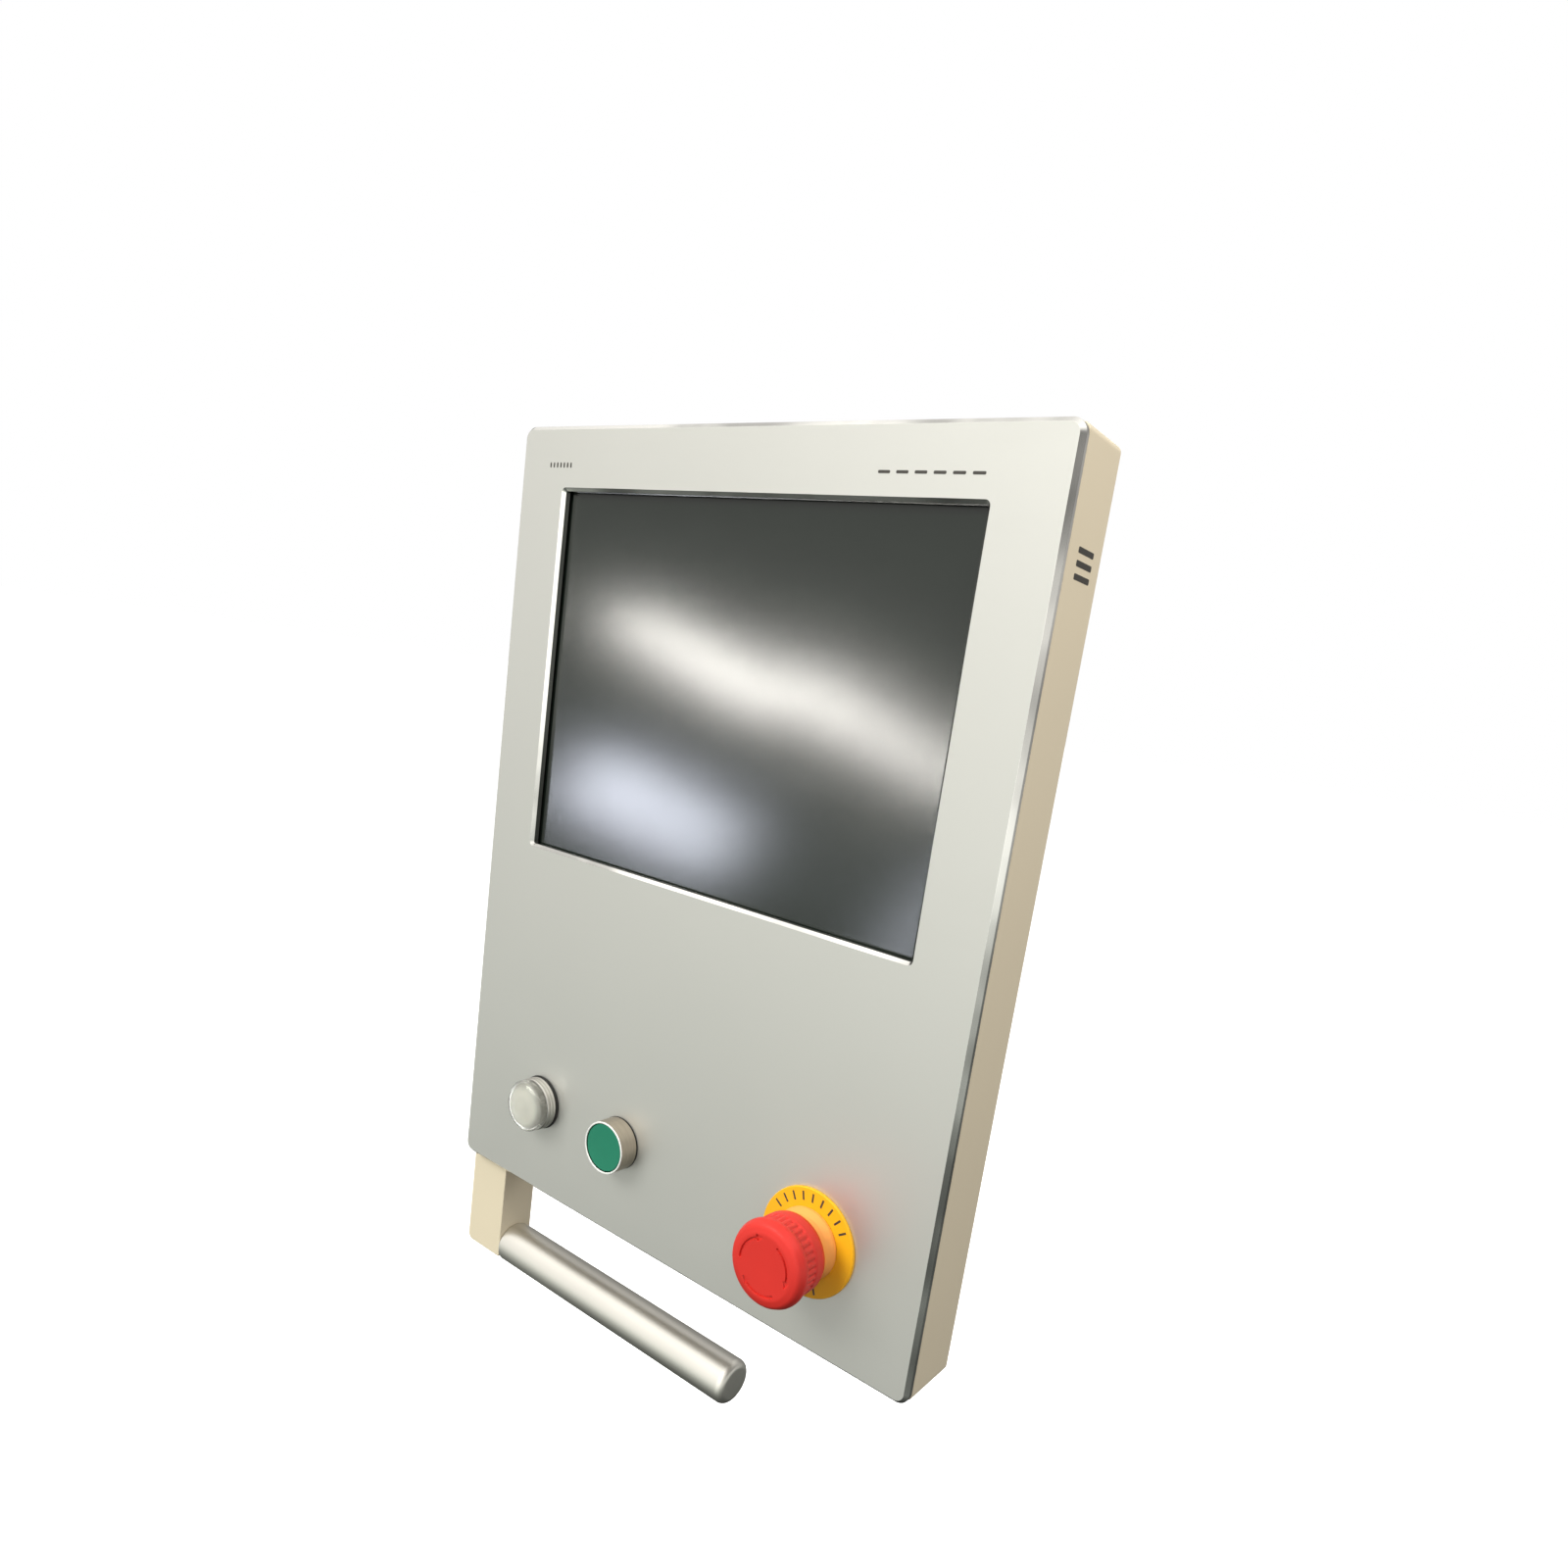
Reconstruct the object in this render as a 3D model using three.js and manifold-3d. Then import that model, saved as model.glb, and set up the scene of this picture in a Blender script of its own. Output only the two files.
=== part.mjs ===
// Operator touch panel for a machine: an aluminium front plate with a 12 inch touch screen, a pilot
// light, a start button and an emergency stop, on a shallow sheet metal housing that an arm carries
// from behind, with a grip bar below it.
// Units are millimetres. +X is the operator's right, +Y points from the front to the back, +Z is up.
// The origin is the centre of the arm mount's rear face, which is also the middle of the panel.
import * as THREE from "three";
import { mergeVertices } from "three/addons/utils/BufferGeometryUtils.js";
import Module from "manifold-3d";

const wasm = await Module();
wasm.setup();

// ---------------------------------------------------------------- driving dimensions
const FIT = 0.2; // air left between pieces that touch
const RUN = 0.3; // air around pieces that move

// The case. Depths are counted from the front face of the plate, towards the back.
const PLATE = { width: 320, height: 415, thick: 4.2, chamfer: 2, corner: 6.5 };
const CASE_DEPTH = 37.5;
const MOUNT = { side: 130, thick: 4, corner: 8, boltPitch: 75, armPitch: 100, armHole: 2.1 };
const PLATE_GASKET = { thick: 0.8, inset: 2, width: 14 };
const WALL = 1.5;
const HOUSING = { inset: 0.5, corner: 3.5, frontFlange: 16, rearFlange: 14 };
const STUD = { radius: 2, length: 10, fromEdge: 11 };
const COVER_SCREW = { head: 3.6, headHigh: 1.9, shank: 1.8, reach: 6, hole: 2.3 };

const VENT = { x: 96, top: 150, pitch: 9, count: 6, width: 44, high: 3 };
const GROMMET = { z: -120, radius: 15 };

// The screen: a window in the plate with a polished chamfer, and the display behind it.
const WINDOW = { width: 249, height: 186, corner: 1, top: 32 };
const GLASS = { width: 263, height: 200, thick: 3 };
const LCD = { width: 261, height: 198, cell: 2, backlight: 7 };
const SEAL_THICK = 0.8;
const CARRIER = { width: 284, height: 211, thick: 1.2, post: 3, postHigh: 3.2 };
const BOARD = { width: 190, height: 130, thick: 1.6, hole: 1.6 };

// The three controls stand in one row, on a pitch that leaves one place free.
const CONTROL_PITCH = 64;
const CONTROL_UP = 53.7; // the row's height above the plate's lower edge
const PANEL_HOLE = 11.2;
const BARREL = 10.8;
const BARREL_END = 14;
const NUT = { radius: 14, bore: 11.1, thick: 4 };
const PILOT = { lens: 14.3, bezel: 14.6, gasket: 15.1, lensFront: 14.2, lensRear: 7, bezelRear: 1.7 };
const START = { rim: 14, cap: 12.7, rimFront: 11.2, capFront: 10.7, capThick: 3, travel: 3.5 };
const STOP = { head: 20.5, front: 33.2, rear: 12, rim: 18.4, travel: 4.5, legend: 26.5, collar: 17.4 };

// The handle: an arm below the housing's left end, and a round bar that points to the right.
const ARM = { width: 30, front: 7.5, depth: 22, reach: 62.3, edge: 1.2, corner: 4 };
const BAR = { radius: 11.8, length: 182, edge: 4, drop: 55.8 };

// The bolt that holds the bar. Its head sits in a counterbore in the arm's left side.
const GRIP_BOLT = { shank: 2.9, bore: 3.2, head: 4.9, headBore: 5.2, socket: 2.5, seat: 6, depth: 14 };

const FRONT = -(CASE_DEPTH + FIT + MOUNT.thick); // where the plate's front face lies
const WINDOW_Z = PLATE.height / 2 - WINDOW.top - WINDOW.height / 2;
const ROW_Z = CONTROL_UP - PLATE.height / 2;
const PILOT_X = -1.5 * CONTROL_PITCH;
const START_X = -0.5 * CONTROL_PITCH;
const STOP_X = 1.5 * CONTROL_PITCH;

// ---------------------------------------------------------------- materials
const finish = (color, roughness, metalness) => ({ color, roughness, metalness });
const SATIN = finish("#d2d0c8", 0.4, 0.8);
const PAINT = finish("#d8ccb0", 0.55, 0);
const STEEL = finish("#b8b8b4", 0.35, 1);
const ZINC = finish("#c4c6c8", 0.4, 1);
const BLACK_RUBBER = finish("#161614", 0.85, 0);
const SCREEN = finish("#32382f", 0.3, 0);
const DARK_GLASS = finish("#15181a", 0.2, 0);
const WHITE_PLASTIC = finish("#e6e4dc", 0.5, 0);
const GREY_PLASTIC = finish("#4a4c4e", 0.6, 0);
const CLEAR_WHITE = finish("#dcdacd", 0.25, 0);
const NICKEL = finish("#968c7d", 0.35, 0.9);
const GREEN = finish("#28876a", 0.45, 0);
const RED = finish("#d23228", 0.45, 0);
const YELLOW = finish("#f5b41e", 0.5, 0);
const ORANGE = finish("#eda04e", 0.5, 0);
const BOARD_GREEN = finish("#1f5a35", 0.6, 0);
const ALUMINIUM = finish("#9a9ca0", 0.45, 0.9);
const GOLD_FLEX = finish("#b0762c", 0.5, 0.2);

// ---------------------------------------------------------------- making shapes
function solid(geometry) {
  const bare = geometry.clone();
  bare.deleteAttribute("normal");
  bare.deleteAttribute("uv");
  const merged = mergeVertices(bare, 1e-4);
  const vertProperties = merged.attributes.position.array;
  const triVerts = new Uint32Array(merged.index.array);
  return new wasm.Manifold(new wasm.Mesh({ numProp: 3, vertProperties, triVerts }));
}

function geometryOf(body) {
  const mesh = body.getMesh();
  const geometry = new THREE.BufferGeometry();
  geometry.setAttribute("position", new THREE.BufferAttribute(mesh.vertProperties, 3));
  geometry.setIndex(new THREE.BufferAttribute(mesh.triVerts, 1));
  const faceted = geometry.toNonIndexed();
  faceted.computeVertexNormals();
  return faceted;
}

const cut = (body, ...tools) => tools.reduce((rest, tool) => rest.subtract(tool), body);
const join = (body, ...more) => more.reduce((sum, piece) => sum.add(piece), body);

function rounded(path, width, height, radius, x = 0, z = 0) {
  const right = x + width / 2;
  const left = x - width / 2;
  const top = z + height / 2;
  const low = z - height / 2;
  path.moveTo(left + radius, low);
  path.lineTo(right - radius, low);
  path.absarc(right - radius, low + radius, radius, -Math.PI / 2, 0);
  path.lineTo(right, top - radius);
  path.absarc(right - radius, top - radius, radius, 0, Math.PI / 2);
  path.lineTo(left + radius, top);
  path.absarc(left + radius, top - radius, radius, Math.PI / 2, Math.PI);
  path.lineTo(left, low + radius);
  path.absarc(left + radius, low + radius, radius, Math.PI, 1.5 * Math.PI);
  return path;
}
const outline = (...size) => rounded(new THREE.Shape(), ...size);
const hole = (...size) => rounded(new THREE.Path(), ...size);

// A flat outline in X and Z, made solid from one depth to another.
function slab(shape, near, far, segments = 3) {
  const geometry = new THREE.ExtrudeGeometry(shape, {
    depth: far - near,
    bevelEnabled: false,
    curveSegments: segments,
  });
  return solid(geometry.rotateX(Math.PI / 2).translate(0, far, 0));
}

function frame(width, height, corner, rim, near, far, z = 0) {
  const shape = outline(width, height, corner, 0, z);
  const inner = Math.max(corner - rim, 0.6);
  shape.holes.push(hole(width - 2 * rim, height - 2 * rim, inner, 0, z));
  return slab(shape, near, far);
}

const box = (width, depth, height, x, y, z) =>
  solid(new THREE.BoxGeometry(width, depth, height).translate(x, y, z));

// A box between two depths.
const brick = (width, height, near, far, x, z) =>
  box(width, far - near, height, x, (near + far) / 2, z);

// A round post between two depths, on an axis along Y.
function post(radius, near, far, x = 0, z = 0, sides = 20) {
  const geometry = new THREE.CylinderGeometry(radius, radius, far - near, sides);
  return solid(geometry.translate(x, (near + far) / 2, z));
}

// A turned piece on an axis along Y. The profile's points are [radius, depth], in order from the
// front on the axis to the back on the axis, or round a closed ring.
function turned(profile, sides = 32) {
  const points = profile.map(([radius, depth]) => new THREE.Vector2(radius, depth));
  return solid(new THREE.LatheGeometry(points, sides));
}
const ring = (outer, inner, near, far, sides = 28) =>
  turned([[inner, near], [outer, near], [outer, far], [inner, far], [inner, near]], sides);

// Points of a quarter round between two ends, for a turned profile.
function quarter(fromRadius, fromDepth, toRadius, toDepth, steps, bulgeFirst) {
  return Array.from({ length: steps + 1 }, (_, i) => {
    const angle = (i / steps) * (Math.PI / 2);
    const slow = 1 - Math.cos(angle);
    const fast = Math.sin(angle);
    const [a, b] = bulgeFirst ? [fast, slow] : [slow, fast];
    return [fromRadius + (toRadius - fromRadius) * a, fromDepth + (toDepth - fromDepth) * b];
  });
}

// ---------------------------------------------------------------- the assembly
// The outer group carries the frame; everything below it counts its depth from the front face.
const panel = new THREE.Group();

function group(parent, x, y, z) {
  const made = new THREE.Group();
  made.position.set(x, y, z);
  parent.add(made);
  return made;
}

const body = group(panel, 0, FRONT, 0);

function add(name, shape, look, parent = body, x = 0, y = 0, z = 0) {
  const mesh = new THREE.Mesh(geometryOf(shape), new THREE.MeshStandardMaterial(look));
  mesh.name = name;
  mesh.position.set(x, y, z);
  parent.add(mesh);
}

const CORNERS = [[-1, 1], [1, 1], [-1, -1], [1, -1]];

// Depths of the faces that the layers share.
const gasketRear = PLATE.thick + FIT + PLATE_GASKET.thick;
const housingFront = gasketRear + FIT;
const coverFront = CASE_DEPTH - WALL;
const flangeRear = coverFront - FIT;
const flangeFront = flangeRear - WALL;
const mountFront = CASE_DEPTH + FIT;
const mountRear = mountFront + MOUNT.thick;
const backingRear = coverFront - FIT;
const backingFront = backingRear - 3.4;

// Places in X and Z.
const caseWidth = PLATE.width - 2 * HOUSING.inset;
const caseHeight = PLATE.height - 2 * HOUSING.inset;
const coverWidth = caseWidth - 2 * WALL - 1;
const coverHeight = caseHeight - 2 * WALL - 1;
const STUDS = CORNERS.map(([sx, sz]) =>
  [sx * (PLATE.width / 2 - STUD.fromEdge), sz * (PLATE.height / 2 - STUD.fromEdge)]);
const COVER_SCREWS = [-1, 1].flatMap((side) => [-1, 0, 1].map((row) =>
  [side * (coverWidth / 2 - 6), row * (coverHeight / 2 - 6)]));
const BOLTS = CORNERS.map(([sx, sz]) => [sx * MOUNT.boltPitch / 2, sz * MOUNT.boltPitch / 2]);
const ARM_TAPS = CORNERS.map(([sx, sz]) => [sx * MOUNT.armPitch / 2, sz * MOUNT.armPitch / 2]);
const ARM_X = -PLATE.width / 2 + HOUSING.inset + ARM.width / 2;
const BAR_Y = ARM.front + ARM.depth / 2;
const HANDLE_SCREWS = [ARM_X - 7.5, ARM_X + 7.5];

// Drills of one size at a list of places.
const drills = (places, radius, near, far, sides = 12) =>
  places.map(([x, z]) => post(radius, near, far, x, z, sides));

// A bevelled blank, cut off behind so that only its front edges keep the chamfer.
function frontPlate() {
  const shape = outline(PLATE.width, PLATE.height, PLATE.corner);
  shape.holes.push(hole(WINDOW.width, WINDOW.height, WINDOW.corner, 0, WINDOW_Z));
  const geometry = new THREE.ExtrudeGeometry(shape, {
    depth: PLATE.thick,
    bevelThickness: PLATE.chamfer,
    bevelSize: PLATE.chamfer,
    bevelOffset: -PLATE.chamfer,
    bevelSegments: 1,
    curveSegments: 4,
  });
  geometry.rotateX(Math.PI / 2).translate(0, PLATE.thick + PLATE.chamfer, 0);
  const behind = brick(PLATE.width + 10, PLATE.height + 10, PLATE.thick, PLATE.thick + 10, 0, 0);
  const holes = drills([[PILOT_X, ROW_Z], [START_X, ROW_Z], [STOP_X, ROW_Z]], PANEL_HOLE, -1, 6, 28);
  const studs = drills(STUDS, STUD.radius, PLATE.thick - 1, PLATE.thick + STUD.length);
  return join(cut(solid(geometry), behind, ...holes), ...studs);
}

function plateGasket() {
  const { inset, width, thick } = PLATE_GASKET;
  const near = PLATE.thick + FIT;
  const strip = frame(PLATE.width - 2 * inset, PLATE.height - 2 * inset, 6, width, near, near + thick);
  return cut(strip, ...drills(STUDS, STUD.radius + 0.5, PLATE.thick, gasketRear + 1));
}

// A folded frame: its flanges turn inwards, in front for the plate's studs and behind for the cover.
function housing() {
  const shell = frame(caseWidth, caseHeight, HOUSING.corner, WALL, housingFront, CASE_DEPTH);
  const front = frame(caseWidth - 1, caseHeight - 1, 3, HOUSING.frontFlange, housingFront,
    housingFront + WALL);
  const rear = frame(caseWidth - 1, caseHeight - 1, 3, HOUSING.rearFlange, flangeFront, flangeRear);
  const studHoles = drills(STUDS, STUD.radius + 0.5, housingFront - 1, housingFront + 3);
  const screwHoles = drills(COVER_SCREWS, COVER_SCREW.hole, flangeFront - 1, flangeRear + 1);
  const armHoles = HANDLE_SCREWS.map((x) =>
    solid(new THREE.CylinderGeometry(2.8, 2.8, 6, 12).rotateX(Math.PI / 2)
      .translate(x, BAR_Y, 1 - caseHeight / 2)));
  return cut(join(shell, front, rear), ...studHoles, ...screwHoles, ...armHoles);
}

function rearCover() {
  const near = coverFront - 1;
  const far = CASE_DEPTH + 1;
  const vents = [-VENT.x, VENT.x].flatMap((x) => Array.from({ length: VENT.count }, (_, i) =>
    brick(VENT.width, VENT.high, near, far, x, VENT.top - VENT.pitch * i)));
  return cut(slab(outline(coverWidth, coverHeight, 2.5), coverFront, CASE_DEPTH),
    ...drills(COVER_SCREWS, COVER_SCREW.hole, near, far), ...drills(BOLTS, 3.4, near, far, 16),
    ...vents, post(GROMMET.radius, near, far, 0, GROMMET.z, 24));
}

// Seen with its seat at depth 0.
function coverScrew() {
  const { head, headHigh, shank, reach } = COVER_SCREW;
  const blank = turned([[0, -reach], [shank, -reach], [shank, 0], [head, 0], [head, headHigh - 0.9],
    [head - 0.9, headHigh], [0, headHigh]], 12);
  return cut(blank, post(1.3, headHigh - 1.2, headHigh + 1, 0, 0, 6));
}

// Countersunk bolts hold the mount plate, so that its rear face stays flat.
function mountPlate() {
  const sink = turned([[0, -1], [3.3, -1], [3.3, MOUNT.thick - 3.3], [6.8, MOUNT.thick + 0.2],
    [0, MOUNT.thick + 0.2]], 16);
  return cut(slab(outline(MOUNT.side, MOUNT.side, MOUNT.corner), mountFront, mountRear),
    ...BOLTS.map(([x, z]) => sink.translate([x, mountFront, z])),
    ...drills(ARM_TAPS, MOUNT.armHole, mountFront - 1, mountRear + 1));
}

function mountBolt() {
  const blank = turned([[0, backingFront - 1], [2.7, backingFront - 1], [2.7, mountRear - 3.2],
    [5.9, mountRear - 0.3], [0, mountRear - 0.3]], 16);
  return cut(blank, post(1.7, mountRear - 2, mountRear + 1, 0, 0, 6));
}

// A closed rubber membrane that the machine cable is pushed through when the panel is fitted.
function grommet() {
  const lip = GROMMET.radius + 2.5;
  const waist = GROMMET.radius - FIT;
  return turned([[0, coverFront - 0.5], [waist - 3, coverFront - 0.5], [waist - 3, coverFront - 2],
    [lip, coverFront - 2], [lip, coverFront - FIT], [waist, coverFront - FIT],
    [waist, CASE_DEPTH + FIT], [lip, CASE_DEPTH + FIT], [lip, CASE_DEPTH + 1.6],
    [waist - 3, CASE_DEPTH + 2.8], [waist - 3, CASE_DEPTH + 0.6], [0, CASE_DEPTH + 0.6]], 24);
}

const nut = (radius, bore, thick) =>
  cut(post(radius, 0, thick, 0, 0, 6), post(bore, -1, thick + 1));

add("front_plate", frontPlate(), SATIN);
add("plate_gasket", plateGasket(), BLACK_RUBBER);
add("housing", housing(), PAINT);
add("rear_cover", rearCover(), PAINT);
COVER_SCREWS.forEach(([x, z], i) =>
  add(`cover_screw_${i + 1}`, coverScrew(), ZINC, body, x, mountFront, z));
STUDS.forEach(([x, z], i) =>
  add(`plate_nut_${i + 1}`, nut(4, STUD.radius + 0.3, 3.2), ZINC, body, x, housingFront + WALL + FIT, z));
add("arm_mount_plate", mountPlate(), STEEL);
add("arm_backing_plate", cut(slab(outline(MOUNT.side - 10, MOUNT.side - 10, 4), backingFront, backingRear),
  ...drills(BOLTS, 3, backingFront - 1, backingRear + 1)), ZINC);
BOLTS.forEach(([x, z], i) => add(`arm_bolt_${i + 1}`, mountBolt(), ZINC, body, x, 0, z));
add("cable_grommet", grommet(), BLACK_RUBBER, body, 0, 0, GROMMET.z);

// ---------------------------------------------------------------- display and electronics
// These pieces count their height from the middle of the screen.
const display = group(body, 0, 0, WINDOW_Z);
const glassFront = PLATE.thick + FIT + SEAL_THICK + FIT;
const cellFront = glassFront + GLASS.thick + FIT;
const lightFront = cellFront + LCD.cell + FIT;
const carrierFront = lightFront + LCD.backlight + FIT;
const carrierRear = carrierFront + CARRIER.thick;
const boardFront = carrierRear + CARRIER.postHigh + FIT;
const boardRear = boardFront + BOARD.thick;
const onBoard = boardRear + FIT;
const BOARD_POSTS = CORNERS.map(([sx, sz]) =>
  [sx * (BOARD.width / 2 - 6), sz * (BOARD.height / 2 - 6)]);

// A folded tray: its two side walls reach the plate, and its posts carry the board.
function displayCarrier() {
  const { width, height, thick, post: postRadius, postHigh } = CARRIER;
  const back = brick(width, height, carrierFront, carrierRear, 0, 0);
  const window = brick(120, 60, carrierFront - 1, carrierRear + 1, 0, 0);
  const sides = [-1, 1].map((side) =>
    brick(thick, height, PLATE.thick + FIT, carrierRear, side * (width - thick) / 2, 0));
  return join(cut(back, window), ...sides,
    ...drills(BOARD_POSTS, postRadius, carrierRear - 0.5, carrierRear + postHigh, 16),
    ...drills(BOARD_POSTS, BOARD.hole - 0.3, carrierRear, boardRear + 1.2));
}

function heatsink() {
  const slots = Array.from({ length: 7 }, (_, i) => brick(3.6, 52, 2, 8, 6.8 * i - 20.4, 0));
  return cut(brick(50, 50, 0, 6.5, 0, 0), ...slots);
}

function powerTerminal() {
  const screws = [-15, -5, 5, 15].map((x) => [x, 0]);
  return cut(brick(42, 12, 0, 6.4, 0, 0), ...drills(screws, 1.9, 4.5, 8));
}

// Bends round the carrier's lower edge, from the display to the board.
function ribbonCable() {
  const near = carrierRear + 1;
  const far = boardRear + 3;
  const middle = (near + far) / 2;
  const point = (y, z) => new THREE.Vector3(60, y, z);
  const path = new THREE.CurvePath();
  path.add(new THREE.QuadraticBezierCurve3(point(near, -70), point(near, -82), point(middle, -82)));
  path.add(new THREE.QuadraticBezierCurve3(point(middle, -82), point(far, -82), point(far, -70)));
  const strip = new THREE.Shape();
  strip.moveTo(-14, -0.25);
  strip.lineTo(14, -0.25);
  strip.lineTo(14, 0.25);
  strip.lineTo(-14, 0.25);
  strip.closePath();
  return solid(new THREE.ExtrudeGeometry(strip, { steps: 16, extrudePath: path, bevelEnabled: false }));
}

add("display_gasket", frame(GLASS.width, GLASS.height, 1.5, 6, PLATE.thick + FIT,
  PLATE.thick + FIT + SEAL_THICK), BLACK_RUBBER, display);
add("touch_glass", brick(GLASS.width, GLASS.height, glassFront, glassFront + GLASS.thick, 0, 0), SCREEN,
  display);
add("lcd_cell", brick(LCD.width - 5, LCD.height - 5, cellFront, cellFront + LCD.cell, 0, 0), DARK_GLASS,
  display);
add("lcd_backlight", brick(LCD.width, LCD.height, lightFront, lightFront + LCD.backlight, 0, 0),
  WHITE_PLASTIC, display);
add("display_carrier", displayCarrier(), ZINC, display);
add("main_board", cut(brick(BOARD.width, BOARD.height, boardFront, boardRear, 0, 0),
  ...drills(BOARD_POSTS, BOARD.hole, boardFront - 1, boardRear + 1)), BOARD_GREEN, display);
add("processor_heatsink", heatsink(), ALUMINIUM, display, -20, onBoard, 10);
add("power_terminal", powerTerminal(), GREEN, display, -66, onBoard, -52);
add("network_socket", cut(brick(16, 20, 0, 7, 0, 0), brick(11, 8, 2, 5.4, 0, -8)), ZINC, display,
  0, onBoard, -50);
add("coin_cell", post(10, 0, 3.4), ZINC, display, 62, onBoard, 35);
add("power_capacitor", post(6.5, 0, 6.8), GREY_PLASTIC, display, 40, onBoard, -10);
add("inverter_board", brick(120, 18, 0, 3, 0, 0), BOARD_GREEN, display, 0, carrierRear + 1, 88);
add("ribbon_cable", ribbonCable(), GOLD_FLEX, display);

// ---------------------------------------------------------------- shared by the three controls
const nutFront = PLATE.thick + FIT;
const POCKET_END = 8; // the floor of the spring pocket in a barrel

// A switch block clips behind a barrel. Its terminals stand on the two short ends.
function switchBlock(bore, boreFar) {
  const near = BARREL_END + FIT;
  const far = near + 13.5;
  const ends = [-1, 1].map((side) => brick(28, 4, near + 6, far + 1, 0, side * 10));
  const wells = drills([[-7, 9.6], [7, 9.6], [-7, -9.6], [7, -9.6]], 1.8, near + 3, near + 7);
  const plungerBore = bore ? [post(bore, near - 1, boreFar)] : [];
  return cut(brick(26, 22, near, far, 0, 0), ...ends, ...wells, ...plungerBore);
}

// A round wire coil on an axis along Y.
function coil(radius, wire, near, far, turns) {
  class Helix extends THREE.Curve {
    getPoint(t) {
      const angle = 2 * Math.PI * turns * t;
      const depth = near + wire + (far - near - 2 * wire) * t;
      return new THREE.Vector3(radius * Math.cos(angle), depth, radius * Math.sin(angle));
    }
  }
  const section = new THREE.Shape().absarc(0, 0, wire, 0, 2 * Math.PI);
  return solid(new THREE.ExtrudeGeometry(section, {
    steps: turns * 11,
    curveSegments: 3,
    extrudePath: new Helix(),
    bevelEnabled: false,
  }));
}

// ---------------------------------------------------------------- pilot light
const pilot = group(body, PILOT_X, 0, ROW_Z);

function pilotLens() {
  const { lens, lensFront, lensRear } = PILOT;
  return turned([[0, -lensFront], [lens - 4, 0.6 - lensFront],
    ...quarter(lens - 3, 0.8 - lensFront, lens, 3.6 - lensFront, 4, true),
    [lens, -lensRear], [lens - 2, -lensRear], [lens - 2, 3.4 - lensFront], [0, 2 - lensFront]]);
}

add("pilot_lens", pilotLens(), CLEAR_WHITE, pilot);
add("pilot_bezel", ring(PILOT.bezel, BARREL + FIT, FIT - PILOT.lensRear, -PILOT.bezelRear), STEEL, pilot);
add("pilot_gasket", ring(PILOT.gasket, BARREL + FIT, FIT - PILOT.bezelRear, -FIT), BLACK_RUBBER, pilot);
add("pilot_body", turned([[0, 12], [8.5, 12], [8.5, -6], [BARREL, -6], [BARREL, BARREL_END],
  [0, BARREL_END]]), GREY_PLASTIC, pilot);
add("pilot_nut", nut(NUT.radius, NUT.bore, NUT.thick), GREY_PLASTIC, pilot, 0, nutFront);
add("pilot_led_block", switchBlock(), GREY_PLASTIC, pilot);

// ---------------------------------------------------------------- start button
const start = group(body, START_X, 0, ROW_Z);
const PLUNGER = 3.5;
const capRear = START.capThick - START.capFront;
const plungerFront = capRear + FIT;

function startBezel() {
  const { rim, rimFront } = START;
  return turned([[rim - 1, -rimFront], [rim, 0.4 - rimFront], [rim, -0.8], [BARREL, -0.8],
    [BARREL, BARREL_END], [PLUNGER + RUN, BARREL_END], [PLUNGER + RUN, POCKET_END], [7, POCKET_END],
    [7, -3.2], [rim - 1, -3.2], [rim - 1, -rimFront]], 36);
}

add("start_bezel", startBezel(), NICKEL, start);
add("start_gasket", ring(START.rim + 0.2, BARREL + FIT, -0.6, -0.1), BLACK_RUBBER, start);
add("start_cap", turned([[0, -START.capFront], [START.cap - 0.5, -START.capFront],
  [START.cap, 0.5 - START.capFront], [START.cap, capRear], [0, capRear]], 36), GREEN, start);
add("start_plunger", turned([[0, plungerFront], [6.6, plungerFront], [6.6, plungerFront + 0.8],
  [PLUNGER, plungerFront + 0.8], [PLUNGER, BARREL_END + 0.4], [0, BARREL_END + 0.4]], 24),
  WHITE_PLASTIC, start);
add("start_spring", coil(5.4, 0.45, plungerFront + 0.9, POCKET_END - FIT, 5), STEEL, start);
add("start_nut", nut(NUT.radius, NUT.bore, NUT.thick), ZINC, start, 0, nutFront);
add("start_contact_block", switchBlock(PLUNGER + 0.8, BARREL_END + 5.5), GREY_PLASTIC, start);

// ---------------------------------------------------------------- emergency stop
const stop = group(body, STOP_X, 0, ROW_Z);
const STEM = 5;
const BOSS = STEM + 1; // the stem's thicker front end, inside the head
const HEAD_FLOOR = -17.2; // the floor of the hollow that lets the head come down over the collar
const HEAD_BORE = -27;

function stopHead() {
  const { head, front, rear, rim } = STOP;
  return turned([[0, -front], [head - 6, 0.3 - front],
    ...quarter(head - 4.6, 0.5 - front, head, 4.9 - front, 5, true),
    [head, -26.4], [head - 1.5, -23.8], [head - 1.7, -17.5], [head - 1.5, -14.5], [rim, -rear],
    [rim - 1.6, -rear], [rim - 1.6, HEAD_FLOOR], [BOSS + RUN, HEAD_FLOOR],
    [BOSS + RUN, HEAD_BORE], [0, HEAD_BORE]], 36);
}

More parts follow.
